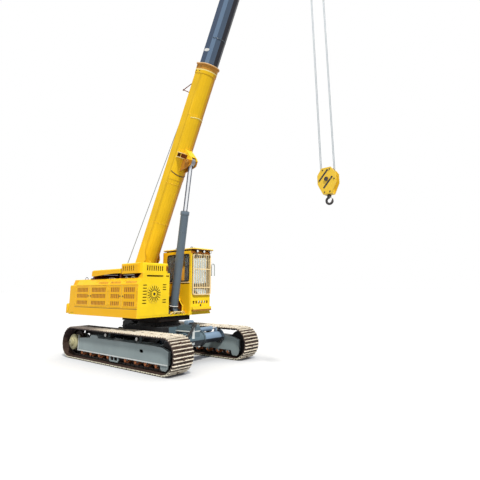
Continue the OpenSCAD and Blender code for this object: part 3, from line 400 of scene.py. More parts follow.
def ramp(tree, value, stops):
    made = node(tree, "ShaderNodeValToRGB")
    while len(made.color_ramp.elements) < len(stops):
        made.color_ramp.elements.new(0.5)
    for element, (place, colour) in zip(made.color_ramp.elements, stops):
        element.position = place
        element.color = (*colour, 1) if len(colour) == 3 else colour
    tree.links.new(value, made.inputs["Fac"])
    return made.outputs["Color"]


def grey_ramp(tree, value, low, low_value, high, high_value):
    return ramp(tree, value, [(low, (low_value,) * 3), (high, (high_value,) * 3)])


def mix(tree, factor, first, second, blend="MIX"):
    made = node(tree, "ShaderNodeMix", data_type="RGBA", blend_type=blend)
    for socket, value in ((made.inputs[0], factor), (made.inputs[6], first), (made.inputs[7], second)):
        if isinstance(value, bpy.types.NodeSocket):
            tree.links.new(value, socket)
        else:
            socket.default_value = (*value, 1) if isinstance(value, tuple) and len(value) == 3 else value
    return made.outputs[2]


def maths(tree, operation, first, second, third=None):
    made = node(tree, "ShaderNodeMath", operation=operation)
    for socket, value in zip(made.inputs, (first, second, third)):
        if isinstance(value, bpy.types.NodeSocket):
            tree.links.new(value, socket)
        elif value is not None:
            socket.default_value = value
    return made.outputs[0]


def along(tree, way, centre):
    """How far a point lies along a way from a centre, on Object coordinates."""
    place = node(tree, "ShaderNodeTexCoord")
    shifted = node(tree, "ShaderNodeVectorMath", operation="SUBTRACT")
    shifted.inputs[1].default_value = centre
    tree.links.new(place.outputs["Object"], shifted.inputs[0])
    product = node(tree, "ShaderNodeVectorMath", operation="DOT_PRODUCT")
    product.inputs[1].default_value = way
    tree.links.new(shifted.outputs["Vector"], product.inputs[0])
    return product.outputs["Value"]


def edge_mask(tree, radius, strength):
    """White near sharp outer edges, from the difference between a rounded normal and the true one."""
    rounded = node(tree, "ShaderNodeBevel", samples=6)
    rounded.inputs["Radius"].default_value = radius
    geometry = node(tree, "ShaderNodeNewGeometry")
    product = node(tree, "ShaderNodeVectorMath", operation="DOT_PRODUCT")
    tree.links.new(rounded.outputs["Normal"], product.inputs[0])
    tree.links.new(geometry.outputs["Normal"], product.inputs[1])
    change = node(tree, "ShaderNodeMapRange")
    change.inputs["From Min"].default_value = 1.0
    change.inputs["From Max"].default_value = 0.86
    change.inputs["To Max"].default_value = strength
    tree.links.new(product.outputs["Value"], change.inputs["Value"])
    return change.outputs["Result"]


def cavity(tree, distance):
    """Dark in corners and recesses."""
    made = node(tree, "ShaderNodeAmbientOcclusion", samples=8)
    made.inputs["Distance"].default_value = distance
    return made.outputs["AO"]


def bump(tree, shader, height, strength, distance):
    made = node(tree, "ShaderNodeBump", Strength=strength, Distance=distance)
    tree.links.new(height, made.inputs["Height"])
    lead(tree, shader, "Normal", made.outputs["Normal"])


def facing(tree, way):
    """How much the surface faces a way, from its normal in Object space."""
    place = node(tree, "ShaderNodeTexCoord")
    product = node(tree, "ShaderNodeVectorMath", operation="DOT_PRODUCT")
    product.inputs[1].default_value = way
    tree.links.new(place.outputs["Normal"], product.inputs[0])
    return product.outputs["Value"]


def within(tree, spans):
    """White inside a box given as (way, origin, low, high) for each of its directions."""
    mask = None
    for way, origin, low, high in spans:
        one = maths(tree, "COMPARE", along(tree, way, origin), (low + high) / 2, (high - low) / 2)
        mask = one if mask is None else maths(tree, "MULTIPLY", mask, one)
    return mask


X_WAY, Y_WAY, Z_WAY = (1, 0, 0), (0, 1, 0), (0, 0, 1)
SLEW = (SLEW_X, 0, 0)


def machine_box(low, high, tone):
    """Spans of a box given from the slew axis, and its tone."""
    return [(way, SLEW, a, b) for way, a, b in zip((X_WAY, Y_WAY, Z_WAY), low, high)], tone


def boom_box(low, high, tone):
    """Spans of a box along the boom, across it and above its axis, and its tone."""
    ways = (tuple(ALONG), Y_WAY, tuple(UPWARD))
    return [(way, tuple(FOOT), a, b) for way, a, b in zip(ways, low, high)], tone


def machine_paint(
    name, colour, corner_tone=(0.30, 0.14, 0.02), corner_share=0.35, rough=0.36, edge=(0.97, 0.82, 0.42),
    edge_share=0.35, coat=0.02, zones=(), gloss=0.14, facing_light_and_shade=(),
):
    """Sprayed machine paint: slow colour drift, darker corners and recesses, pale edges from wear and painted
    highlight and a faint orange peel. zones holds boxes with their tones; faces that look along a listed way
    take its tone as painted light and shade."""
    made, tree, shader = new_material(name)
    low = tuple(c * 0.90 for c in colour)
    high = tuple(min(1.0, c * 1.06) for c in colour)
    base = ramp(tree, object_noise(tree, 1.3, 3), [(0.3, low), (0.7, high)])
    # faces that look along a listed way take its tone: painted light and shade
    for way, tone, begin, full in facing_light_and_shade:
        base = mix(tree, grey_ramp(tree, facing(tree, way), begin, 0.0, full, 1.0), base, tone)
    for spans, tone in zones:
        base = mix(tree, within(tree, spans), base, tone)
    # darker in corners and recesses
    closed = grey_ramp(tree, cavity(tree, 0.09), 0.30, corner_share, 0.85, 0.0)
    darker_in_corners = mix(tree, closed, base, corner_tone)
    fine = grey_ramp(tree, object_noise(tree, 9, 5, 0.65), 0.45, 0.0, 0.75, 0.10)
    dusty = mix(tree, fine, darker_in_corners, tuple(0.92 * c + 0.04 for c in colour))
    streak = grey_ramp(tree, object_noise(tree, 3.2, 4, 0.6, (1, 1, 0.12)), 0.56, 0.0, 0.78, 0.22)
    streaked = mix(tree, streak, dusty, tuple(c * 0.72 for c in colour))
    # pale rounded edges: part wear, part painted highlight
    worn = mix(tree, edge_mask(tree, 0.006, edge_share), streaked, edge)
    lead(tree, shader, "Base Color", worn)
    sheen = grey_ramp(tree, object_noise(tree, 5, 4), 0.3, rough - 0.06, 0.7, rough + 0.12)
    lead(tree, shader, "Roughness", sheen)
    shader.inputs["Specular IOR Level"].default_value = gloss
    shader.inputs["Coat Weight"].default_value = coat
    shader.inputs["Coat Roughness"].default_value = 0.18
    bump(tree, shader, object_noise(tree, 60, 2), 0.05, 0.002)
    return made


def worked_metal(
    name, colour, rough=0.3, dark=(0.2, 0.2, 0.2), share=0.3, metallic=1.0, scale=14, stretch=(1, 1, 1),
):
    made, tree, shader = new_material(name)
    shader.inputs["Metallic"].default_value = metallic
    wear = grey_ramp(tree, object_noise(tree, scale, 6, 0.6, stretch), 0.35, 0.0, 0.8, share)
    worn = mix(tree, wear, colour, dark)
    # darker in corners and recesses
    corners = grey_ramp(tree, cavity(tree, 0.05), 0.3, 0.5, 0.8, 0.0)
    corner_darkened = mix(tree, corners, worn, tuple(c * 0.35 for c in dark))
    lead(tree, shader, "Base Color", corner_darkened)
    fine = object_noise(tree, scale * 2, 4, 0.6, stretch)
    sheen = grey_ramp(tree, fine, 0.3, max(0.03, rough - 0.08), 0.7, rough + 0.12)
    lead(tree, shader, "Roughness", sheen)
    bump(tree, shader, object_noise(tree, scale * 8, 3, 0.6, stretch), 0.08, 0.001)
    return made


def earthy_steel(name, clean, dust, deep, share=(0.35, 0.62), rough=0.75, ends=None):
    """Undercarriage steel with dried dust and dark corners. ends is the tone of the upper run's sideways
    faces; near the ground they take a pale lit tone, and the upper run's rear under the superstructure is
    darkened with a painted shadow."""
    made, tree, shader = new_material(name)
    shader.inputs["Metallic"].default_value = 0.25
    cover = grey_ramp(tree, object_noise(tree, 11, 7, 0.7), share[0], 0.0, share[1], 1.0)
    dusted = mix(tree, cover, clean, dust)
    if ends:
        sideways = grey_ramp(tree, maths(tree, "ABSOLUTE", facing(tree, Y_WAY), 0), 0.6, 0.0, 0.8, 1.0)
        height = along(tree, Z_WAY, (0, 0, 0))
        # the upper run's rear under the superstructure: painted shadow
        rearward = grey_ramp(tree, along(tree, (-0.5, 0, 0), (SLEW_X - 0.35, 0, 0)), 0.0, 0.0, 0.45, 0.80)
        upper = grey_ramp(tree, height, 0.45, 0.0, 0.75, 1.0)
        dusted = mix(tree, maths(tree, "MULTIPLY", rearward, upper), dusted, (0.070, 0.050, 0.058))
        end_tone = ramp(tree, height, [(0.06, LIT_END), (0.22, ends)])
        dusted = mix(tree, sideways, dusted, end_tone)
    deepened = mix(tree, grey_ramp(tree, cavity(tree, 0.06), 0.25, 0.95, 0.75, 0.0), dusted, deep)
    lead(tree, shader, "Base Color", deepened)
    lead(tree, shader, "Roughness", grey_ramp(tree, object_noise(tree, 24, 4), 0.3, rough - 0.2, 0.7, rough))
    bump(tree, shader, object_noise(tree, 45, 6, 0.7), 0.35, 0.006)
    return made


CLEARNESS = 0.92


def window_pane(name, tint, shaded=()):
    """Clear glass; shaded holds boxes and the tones painted on the panes in them, which show the cab's inside
    in painted light and shade.
    """
    made, tree, shader = new_material(name)
    smear = object_noise(tree, 3, 4)
    colour = ramp(tree, smear, [(0.3, tint), (0.7, tuple(min(1, c * 1.08) for c in tint))])
    clear = None
    for spans, shade in shaded:
        mask = within(tree, spans)
        # the painted tone deepens towards the top
        deep = tuple(c * 0.2 for c in shade)
        tone = ramp(tree, along(tree, Z_WAY, (0, 0, 2)), [(0.70, shade), (0.82, deep)])
        colour = mix(tree, mask, colour, tone)
        clear = mask if clear is None else maths(tree, "MAXIMUM", clear, mask)
    lead(tree, shader, "Base Color", colour)
    lead(tree, shader, "Roughness", grey_ramp(tree, smear, 0.4, 0.02, 0.8, 0.07))
    shader.inputs["Transmission Weight"].default_value = CLEARNESS
    if clear is not None:
        lead(tree, shader, "Transmission Weight", maths(tree, "MULTIPLY_ADD", clear, -CLEARNESS, CLEARNESS))
    shader.inputs["IOR"].default_value = 1.1
    return made


def moulded(name, colour, rough=0.55, scale=220):
    made, tree, shader = new_material(name)
    low, high = tuple(c * 0.85 for c in colour), tuple(min(1, c * 1.1) for c in colour)
    lead(tree, shader, "Base Color", ramp(tree, object_noise(tree, 6, 3), [(0.3, low), (0.7, high)]))
    sheen = grey_ramp(tree, object_noise(tree, 15, 3), 0.3, rough - 0.08, 0.7, rough + 0.1)
    lead(tree, shader, "Roughness", sheen)
    bump(tree, shader, object_noise(tree, scale, 2), 0.15, 0.001)
    return made


def barred_paint(name, colour, dark, centre, bars_at, long_way, across_way, length, width):
    """Block paint with slanting warning bars, each a rectangle about its own middle."""
    made, tree, shader = new_material(name)
    mask = None
    for middle in bars_at:
        spot = tuple(Vector(centre) + Vector(middle))
        lengthwise = maths(tree, "COMPARE", along(tree, long_way, spot), 0.0, length / 2)
        crosswise = maths(tree, "COMPARE", along(tree, across_way, spot), 0.0, width / 2)
        one = maths(tree, "MULTIPLY", lengthwise, crosswise)
        mask = one if mask is None else maths(tree, "MAXIMUM", mask, one)
    chips = grey_ramp(tree, object_noise(tree, 30, 5), 0.60, 1.0, 0.75, 0.0)
    kept = maths(tree, "MULTIPLY", mask, chips)
    base = ramp(tree, object_noise(tree, 4, 4), [(0.3, tuple(c * 0.88 for c in colour)), (0.7, colour)])
    both = mix(tree, kept, base, dark)
    worn = mix(tree, edge_mask(tree, 0.006, 0.6), both, (0.30, 0.24, 0.16))
    lead(tree, shader, "Base Color", worn)
    lead(tree, shader, "Roughness", grey_ramp(tree, object_noise(tree, 12, 4), 0.3, 0.35, 0.7, 0.55))
    bump(tree, shader, object_noise(tree, 50, 2), 0.06, 0.002)
    return made


def stranded(name, colour, dark, slant, pitch):
    """Wire rope: slanting strands from a wave on Object coordinates."""
    made, tree, shader = new_material(name)
    shader.inputs["Metallic"].default_value = 0.6
    place = node(tree, "ShaderNodeTexCoord")
    mapping = node(tree, "ShaderNodeMapping")
    mapping.inputs["Rotation"].default_value = slant
    wave = node(tree, "ShaderNodeTexWave", Scale=1.0 / pitch, Distortion=0.4)
    tree.links.new(place.outputs["Object"], mapping.inputs["Vector"])
    tree.links.new(mapping.outputs["Vector"], wave.inputs["Vector"])
    lead(tree, shader, "Base Color", ramp(tree, wave.outputs["Fac"], [(0.2, dark), (0.6, colour)]))
    lead(tree, shader, "Roughness", grey_ramp(tree, object_noise(tree, 20, 3), 0.3, 0.38, 0.7, 0.55))
    bump(tree, shader, wave.outputs["Fac"], 0.4, 0.003)
    return made


YELLOW = (0.97, 0.665, 0.016)
# how squarely a face looks a way where its tone begins and where it is full
TURNED = (0.45, 0.85)
# faces looking sideways take an oranger tone: painted shade on the sides away from the sun
SIDE_SHADE = [((0, y, 0), (0.95, 0.495, 0.004), *TURNED) for y in (-1, 1)]
CAB_SIDE_SHADE = [((0, y, 0), (0.97, 0.56, 0.010), *TURNED) for y in (-1, 1)]
SEAM_PALE = (0.97, 0.66, 0.10)
# orange of shaded louvre blades: painted shade
LOUVRE_BLADE_SHADE = (0.78, 0.36, 0.010)
# near-black brown for insides that lie in shade: painted shade
INTERIOR_SHADE = (0.030, 0.010, 0.005)
BAY_RED = (0.13, 0.008, 0.005)
# brown seen in louvre openings: painted shade
LOUVRE_OPENING_SHADE = (0.34, 0.090, 0.004)
body_yellow = machine_paint("body_yellow", YELLOW, facing_light_and_shade=SIDE_SHADE)
shell_yellow = machine_paint("shell_yellow", YELLOW, facing_light_and_shade=SIDE_SHADE, zones=[
    # inside the cabinets: painted shade
    machine_box((-2.54, -1.449, 1.34), (0.8566, -0.352, 2.20), INTERIOR_SHADE),
    machine_box((-2.54, -1.300, 2.19), (0.8566, -0.352, 2.386), INTERIOR_SHADE),
    machine_box((-2.54, 0.352, 1.34), (-0.53, 1.449, 2.20), INTERIOR_SHADE),
    machine_box((-1.84, -1.332, 2.402), (-0.110, -0.340, 2.60), BAY_RED),
    machine_box((-0.115, -1.316, 2.386), (0.8566, -0.352, 2.53), BAY_RED),
    # the web plate beside the lifting cylinder's foot: painted shadow
    machine_box((0.30, 0.366, 1.30), (0.690, 0.398, 1.72), BAY_RED),
    # the tall block's louvres: painted shade in their openings
    machine_box((-0.03, -1.3985, 2.603), (0.53, -0.350, 2.752), LOUVRE_OPENING_SHADE),
    machine_box((-0.176, -1.20, 2.603), (0.8566, -0.350, 2.752), LOUVRE_OPENING_SHADE),
])
vent_yellow = machine_paint(
    # behind the vent's slots: painted shade
    "vent_yellow", YELLOW, zones=[machine_box((0.80, -1.20, 1.60), (0.8645, -0.60, 2.30), INTERIOR_SHADE)],
)
# rear end, front end and the side that opens, of each door
RIGHT_DOORS = {
    "r1": (-2.53, -1.685, 1), "r2": (-1.645, -0.665, -1), "r3": (-0.575, 0.060, 1),
    "r4": (0.100, 0.800, -1),
}
LEFT_DOORS = {"l1": (-2.53, -1.685, 1), "l2": (-1.645, -0.600, -1)}
DOOR_SEAMS = ((-1.693, -1.637), (-0.673, -0.655), (0.052, 0.108))
LOUVRE_ROWS = ((1.605, 1.735), (1.815, 1.945), (1.995, 2.135))
# the doors' louvre rows: painted shade on the blades
door_zones = [
    machine_box((rear + 0.10, -1.5, low), (front - 0.10, 1.5, high), LOUVRE_BLADE_SHADE)
    for rear, front, _ in RIGHT_DOORS.values()
    for low, high in LOUVRE_ROWS
]
door_zones += [machine_box((rear, -1.5, 1.50), (front, 1.5, 2.25), SEAM_PALE) for rear, front in DOOR_SEAMS]
# the doors' inner faces behind their louvres: painted shade
door_zones.append(machine_box((-2.60, -1.4638, 1.60), (0.86, 1.4638, 2.14), LOUVRE_OPENING_SHADE))
door_yellow = machine_paint("door_yellow", YELLOW, facing_light_and_shade=SIDE_SHADE, zones=door_zones)
hood_yellow = machine_paint(
    "hood_yellow", YELLOW, facing_light_and_shade=SIDE_SHADE,
    zones=[machine_box((-1.71, -1.379, 2.40), (-0.226, -0.367, 2.614), BAY_RED)],
)
cab_yellow = machine_paint("cab_yellow", YELLOW, facing_light_and_shade=CAB_SIDE_SHADE, zones=[
    # the band over the windscreen, in shade: painted shade
    machine_box((0.986, 0.40, 3.19), (1.06, 1.34, 3.40), (1.0, 0.36, 0.05)),
    # inside the cab the yellow walls are painted amber and darker towards the roof: painted shade
    machine_box((-0.385, 0.415, 1.40), (0.985, 1.315, 2.30), (0.50, 0.21, 0.012)),
    machine_box((-0.385, 0.415, 2.30), (0.985, 1.315, 2.80), (0.36, 0.15, 0.012)),
    machine_box((-0.385, 0.415, 2.80), (0.985, 1.315, 3.272), (0.070, 0.028, 0.012)),
])
visor_yellow = machine_paint(
    "visor_yellow", (0.97, 0.70, 0.12),
    # a thin dark band under the visor's front: painted shade
    zones=[machine_box((-0.5, 0.3, 3.30), (1.2, 1.4, 3.330), (0.30, 0.11, 0.012))],
)
guard_peach = machine_paint(
    "guard_peach", (0.95, 0.73, 0.40), rough=0.45,
    zones=[
        machine_box((0.98, 0.42, 1.44), (1.12, 1.31, 1.53), YELLOW),
        # the recess under the step's lip: painted shade
        machine_box((0.98, 0.42, 1.36), (1.12, 1.31, 1.44), (0.36, 0.14, 0.010)),
    ],
)
deck_two_tone = machine_paint(
    "deck_two_tone", (0.012, 0.008, 0.007), corner_tone=(0.03, 0.02, 0.015), corner_share=0.4, rough=0.6,
    edge=(0.06, 0.05, 0.05), edge_share=0.3, coat=0.0,
    zones=[
        machine_box((0.70, -1.5, 1.276), (1.10, 1.5, 1.40), YELLOW),
        machine_box((-3.0, -1.5, 1.276), (0.70, -1.40, 1.40), YELLOW),
    ],
    gloss=0.12,
)
boom_yellow = machine_paint(
    "boom_yellow", (0.95, 0.575, 0.014), corner_share=0.25,
    # faces turned to the far side and the belly take a darker orange: painted shade
    facing_light_and_shade=[((Vector((0, 0.87, 0)) - UPWARD * 0.5)[:], (0.62, 0.25, 0.008), *TURNED)],
    zones=[
        # the ears under the saddle: painted shadow
        boom_box((4.10, -0.20, -0.70), (4.655, 0.20, -0.245), (0.50, 0.19, 0.010)),
        # the collar: a pale line, painted shadow under the flange ring, the ring, and a painted highlight on
        # its rim
        boom_box((7.520, -0.4, -0.5), (7.555, 0.4, 0.5), (0.97, 0.80, 0.30)),
        boom_box((7.555, -0.4, -0.5), (7.708, 0.4, 0.5), (0.60, 0.27, 0.040)),
        boom_box((7.700, -0.4, -0.5), (7.732, 0.4, 0.5), (0.62, 0.30, 0.080)),
        boom_box((7.732, -0.4, -0.5), (7.76, 0.4, 0.5), (0.95, 0.66, 0.38)),
        # the saddle plates' edges round the pocket: painted highlight
        boom_box((4.606, -0.33, -0.30), (4.634, 0.33, -0.06), (0.95, 0.74, 0.36)),
        boom_box((4.762, -0.33, -0.30), (4.790, 0.33, -0.06), (0.95, 0.74, 0.36)),
        # inside the saddle's pocket: painted shade
        boom_box((4.634, -0.311, -0.40), (4.762, 0.311, -0.109), (0.16, 0.028, 0.008)),
    ],
)
chassis_dark = machine_paint(
    "chassis_dark", (0.014, 0.013, 0.014), corner_tone=(0.04, 0.03, 0.025), corner_share=0.5, rough=0.55,
    edge=(0.09, 0.09, 0.09), edge_share=0.35, coat=0.0, gloss=0.15,
)
# pale tone of sunlit flanges and plate edges: painted highlight
FLANGE_HIGHLIGHT = (0.62, 0.66, 0.66)
frame_grey = machine_paint(
    "frame_grey", (0.275, 0.335, 0.345), corner_tone=(0.07, 0.055, 0.045), corner_share=0.6, rough=0.45,
    edge=(0.60, 0.64, 0.64), edge_share=0.5, coat=0.1,
    zones=[
        machine_box((-2.0, -1.6, 0.23), (2.32, -1.551, 0.266), FLANGE_HIGHLIGHT),
        machine_box((-2.0, 1.551, 0.23), (2.32, 1.6, 0.266), FLANGE_HIGHLIGHT),
        machine_box((-1.945, -1.6, 0.23), (-1.924, 1.6, 0.70), FLANGE_HIGHLIGHT),
    ],
)
beam_slate = machine_paint(
    "beam_slate", (0.105, 0.155, 0.185), corner_tone=(0.03, 0.025, 0.02), corner_share=0.6, rough=0.45,
    edge=(0.50, 0.56, 0.60), edge_share=0.5, coat=0.1,
    zones=[
        # the carbody's middle under the superstructure and the front beam's lower part: painted shade
        machine_box((-1.76, -0.63, 0.30), (1.045, 0.63, 1.06), (0.018, 0.017, 0.018)),
        machine_box((1.045, -0.38, 0.30), (1.80, 0.38, 0.62), (0.020, 0.024, 0.030)),
        machine_box((1.045, -0.21, 0.42), (1.71, 0.21, 0.456), FLANGE_HIGHLIGHT),
        machine_box((1.045, -0.21, 0.860), (1.71, 0.21, 0.890), FLANGE_HIGHLIGHT),
        machine_box((1.690, -0.16, 0.42), (1.71, -0.06, 1.06), FLANGE_HIGHLIGHT),
    ],
)
tube_blue = machine_paint(
    "tube_blue", (0.20, 0.29, 0.40), corner_tone=(0.03, 0.03, 0.03), corner_share=0.4, rough=0.4,
    edge=(0.60, 0.66, 0.70), edge_share=0.6, coat=0.15,
    zones=[
        # the cross tubes' undersides and the near end of the front tube: painted shade
        machine_box((-2, -1.7, 0.40), (2, 1.7, 0.612), (0.020, 0.024, 0.032)),
        machine_box((1.2, -1.7, 0.40), (2, -1.10, 0.90), (0.012, 0.012, 0.014)),
    ],
)
rail_grey = machine_paint(
    "rail_grey", (0.36, 0.40, 0.38), corner_tone=(0.10, 0.08, 0.06), corner_share=0.3, rough=0.4,
    edge=(0.7, 0.7, 0.66), edge_share=0.4, coat=0.1,
)
drive_khaki = machine_paint(
    "drive_khaki", (0.42, 0.39, 0.22), corner_tone=(0.05, 0.035, 0.02), corner_share=0.6, rough=0.5,
    edge=(0.75, 0.72, 0.55), edge_share=0.5, coat=0.1,
)
boom_slate = machine_paint(
    "boom_slate", (0.046, 0.076, 0.135), corner_tone=(0.02, 0.02, 0.03), corner_share=0.4, rough=0.4,
    edge=(0.22, 0.30, 0.42), edge_share=0.5, coat=0.1, gloss=0.2,
    facing_light_and_shade=[
        # a facet between flank and belly is lightened, the belly facets darkened: painted light and shade
        ((Vector((0, -0.8, 0)) - UPWARD * 0.6)[:], (0.15, 0.23, 0.35), 0.86, 0.97),
        ((Vector((0, 0.35, 0)) - UPWARD * 0.94)[:], (0.016, 0.016, 0.024), 0.45, 0.75),
    ],
)
barrel_grey = machine_paint(
    "barrel_grey", (0.135, 0.18, 0.225), corner_tone=(0.05, 0.05, 0.05), corner_share=0.4, rough=0.35,
    edge=(0.38, 0.44, 0.48), edge_share=0.5, coat=0.25,
)
bright_rod = machine_paint(
    "bright_rod", (0.80, 0.82, 0.86), corner_tone=(0.10, 0.10, 0.11), corner_share=0.2, rough=0.22,
    edge=(0.9, 0.9, 0.9), edge_share=0.2, coat=0.05, gloss=0.3,
    # pale middle and dark edges by facing: painted reflection of the polished rod
    facing_light_and_shade=[((0.63 * y, 0.77 * y, 0), (0.030, 0.045, 0.080), 0.30, 0.70) for y in (-1, 1)],
)
bare_steel = worked_metal("bare_steel", (0.45, 0.45, 0.44), rough=0.38, dark=(0.20, 0.16, 0.12), share=0.6)
dark_steel = worked_metal(
    "dark_steel", (0.05, 0.05, 0.052), rough=0.45, dark=(0.10, 0.06, 0.04), share=0.5, metallic=0.6,
)
LIT_END = (0.78, 0.74, 0.58)
bar_steel = earthy_steel(
    "bar_steel", (0.60, 0.50, 0.36), dust=(0.86, 0.80, 0.68), deep=(0.08, 0.045, 0.03), share=(0.30, 0.60),
    rough=0.75, ends=(0.045, 0.022, 0.020),
)
shoe_steel = earthy_steel(
    "shoe_steel", (0.036, 0.018, 0.013), dust=(0.10, 0.055, 0.032), deep=(0.012, 0.007, 0.006),
    share=(0.45, 0.80), rough=0.75, ends=(0.022, 0.011, 0.009),
)
link_steel = earthy_steel(
    "link_steel", (0.016, 0.009, 0.008), dust=(0.050, 0.028, 0.018), deep=(0.004, 0.003, 0.003),
    share=(0.5, 0.85), rough=0.6,
)
roller_rust = earthy_steel(
    "roller_rust", (0.30, 0.085, 0.025), dust=(0.52, 0.20, 0.075), deep=(0.02, 0.008, 0.006),
    share=(0.35, 0.7),
)
tar_brown = moulded("tar_brown", (0.050, 0.022, 0.014), rough=0.7, scale=90)
# brown of the sheets behind the door louvres, painted shade; the rope arm has it too
louvre_shade_brown = moulded("louvre_shade_brown", (0.22, 0.052, 0.004), rough=0.7, scale=90)
# brown of the shoulder louvres: painted shade in their openings
shoulder_louvre_shade = moulded("shoulder_louvre_shade", (0.52, 0.22, 0.010), rough=0.7, scale=90)
hose_cream = moulded("hose_cream", (0.88, 0.70, 0.34), rough=0.5, scale=90)
bay_lining = moulded("bay_lining", (0.14, 0.009, 0.005), rough=0.7, scale=90)
white_enamel = moulded("white_enamel", (0.86, 0.86, 0.83), rough=0.35, scale=90)
# tones on the rear, quarter and right-hand panes: the cab's inside seen through them, painted light and shade
INSIDE_SHADE_BROWN = (0.34, 0.14, 0.012)
cab_window = window_pane(
    "cab_window", (0.80, 0.88, 0.90),
    [
        machine_box((-0.42, 0.44, 2.38), (-0.34, 1.29, 3.20), INSIDE_SHADE_BROWN),
        machine_box((-0.34, 1.27, 2.38), (-0.08, 1.36, 3.20), INSIDE_SHADE_BROWN),
        machine_box((0.30, 0.36, 2.34), (0.56, 0.50, 3.20), (0.12, 0.035, 0.010)),
        machine_box((0.56, 0.36, 2.34), (0.70, 0.50, 3.20), (0.85, 0.42, 0.05)),
    ],
)
cab_trim = moulded("cab_trim", (0.10, 0.055, 0.025), rough=0.6, scale=120)
seat_cloth = moulded("seat_cloth", (0.022, 0.022, 0.025), rough=0.75, scale=400)
rubber_black = moulded("rubber_black", (0.012, 0.012, 0.012), rough=0.6, scale=150)
lamp_glass = moulded("lamp_glass", (0.85, 0.85, 0.80), rough=0.15, scale=60)
mark_white = moulded("mark_white", (0.80, 0.80, 0.78), rough=0.4, scale=60)
# pale line along a plate's edge round the belly: painted highlight
pale_highlight = moulded("pale_highlight", (0.97, 0.84, 0.34), rough=0.4, scale=60)
rope_wire = stranded("rope_wire", (0.42, 0.47, 0.50), dark=(0.18, 0.21, 0.24), slant=(0.6, 0, 0), pitch=0.03)
block_paint = barred_paint(
    "block_paint", (0.93, 0.60, 0.03), dark=(0.012, 0.012, 0.012), centre=(HEAD.x, 0, BLOCK_Z),
    bars_at=((-0.075, 0, 0.145), (0.030, 0, -0.045)), long_way=(0.68, 0, 0.73), across_way=(0.73, 0, -0.68),
    length=0.35, width=0.045,
)

node_finish = {
    name: finish
    for finish, names in (
        (beam_slate, "carbody"), (tube_blue, "cross_tubes"), (frame_grey, "track_frames"),
        (roller_rust, "bottom_rollers"), (chassis_dark, "idlers slew_ring engine_block winch_frame"),
        (link_steel, "sprockets"), (drive_khaki, "final_drives"), (shoe_steel, "track_left track_right"),
        (deck_two_tone, "turntable_frame"), (body_yellow, "counterweight"),
        (shell_yellow, "right_cabinet left_cabinet"), (vent_yellow, "front_vent"),
        (hood_yellow, "engine_hood"), (door_yellow, "door_r1 door_r2 door_r3 door_r4 door_l1 door_l2"),
        (cab_yellow, "cab_shell cab_door"), (cab_window, "cab_glass door_glass"),
        (visor_yellow, "roof_guard"), (guard_peach, "front_guard"), (seat_cloth, "operator_seat"),
        (rail_grey, "handrails"), (boom_yellow, "boom_base"), (boom_slate, "boom_fly1 boom_fly2"),
        (barrel_grey, "luff_barrel"), (bright_rod, "luff_rod"), (rope_wire, "rope_falls"),
        (block_paint, "hook_block"), (dark_steel, "carrier_rollers winch_drum head_sheaves hook"),
    )
    for name in names.split()
}
edge_width = {name: width for width, names in (
    (0.020, "counterweight engine_hood"), (0.018, "cab_shell"), (0.012, "roof_guard"),
    (0.010, "right_cabinet left_cabinet engine_block"),
    (0.008, "cab_door carbody track_frames final_drives idlers"),
    (0.006, "turntable_frame hook_block winch_frame bottom_rollers carrier_rollers"),
    (0.004, "boom_base front_guard luff_barrel door_r1 door_r2 door_r3 door_r4 door_l1 door_l2"),
    (0.003, "boom_fly1 boom_fly2 head_sheaves hook"),
) for name in names.split()}


def soften(carried, width):
    """Rounds the carried node's sharp edges with modifiers, its own mesh as it is."""
    weld = carried.modifiers.new("weld", "WELD")
    weld.merge_threshold = 0.0002
    flat = carried.modifiers.new("flat_faces", "DECIMATE")
    flat.decimate_type = "DISSOLVE"
    flat.angle_limit = math.radians(0.5)
    round_edges = carried.modifiers.new("round_edges", "BEVEL")
    round_edges.width = width
    round_edges.segments = 2
    round_edges.limit_method = "ANGLE"
    round_edges.angle_limit = math.radians(40)
    round_edges.use_clamp_overlap = True
    round_edges.harden_normals = False


for name, carried in nodes.items():
    carried.data.materials.clear()
    carried.data.materials.append(node_finish[name])
    if name in edge_width:
        soften(carried, edge_width[name])

# Tracks: one shoe and one pair of links, copied round the loop

TRACK_R = 0.927 / 2
TRACK_C = 5.38 / 2 - TRACK_R
TRACK_Y = 2.734 / 2
SHOES = 60
BAR_H = 0.030
SHOE_T = 0.020
LOOP = 4 * TRACK_C + 2 * math.pi * TRACK_R
PITCH = LOOP / SHOES


def on_loop(s):
    """Place and outward angle on the track loop, s metres from the rear end of the top run."""
    s = s % LOOP
    run, turn = 2 * TRACK_C, math.pi * TRACK_R
    if s < run:
        return Vector((-TRACK_C + s, 0, 0)), math.pi / 2
    if s < run + turn:
        return Vector((TRACK_C, 0, 0)), math.pi / 2 - (s - run) / TRACK_R
    if s < 2 * run + turn:
        return Vector((TRACK_C - (s - run - turn), 0, 0)), -math.pi / 2
    return Vector((-TRACK_C, 0, 0)), -math.pi / 2 - (s - 2 * run - turn) / TRACK_R


HALF_SHOE = 0.337
HALF_PLATE = 0.090
LINK_Y = 0.075
PIN_X, PIN_Z = -0.075, -0.032


def middle_face(reach):
    """A test for the top face whose middle lies within reach of the shoe's middle line."""
    return lambda centre, normal: normal.z > SQUARE_ON and abs(centre.x) < reach and abs(centre.y) < 0.01


def shoe_plate():
    """A shoe's plate lying flat with its top at z = 0, a clean-out hole in its middle and four bolts."""
    plate = block((-HALF_PLATE, -HALF_SHOE, -SHOE_T), (HALF_PLATE, HALF_SHOE, 0), 0)
    inset(plate, top_face, 0.060)
    narrow(plate, middle_face(0.01), (0.80, 0.16, 1), (0.07, 0, 0))
    extrude(plate, middle_face(0.03), (0, 0, -0.016))
    heads = bolts([(x, y, -0.002) for x in (-0.066, 0.014) for y in (-LINK_Y, LINK_Y)], Z_WAY, 0.011, 0.012)
    return merged("shoe", [plate] + heads)


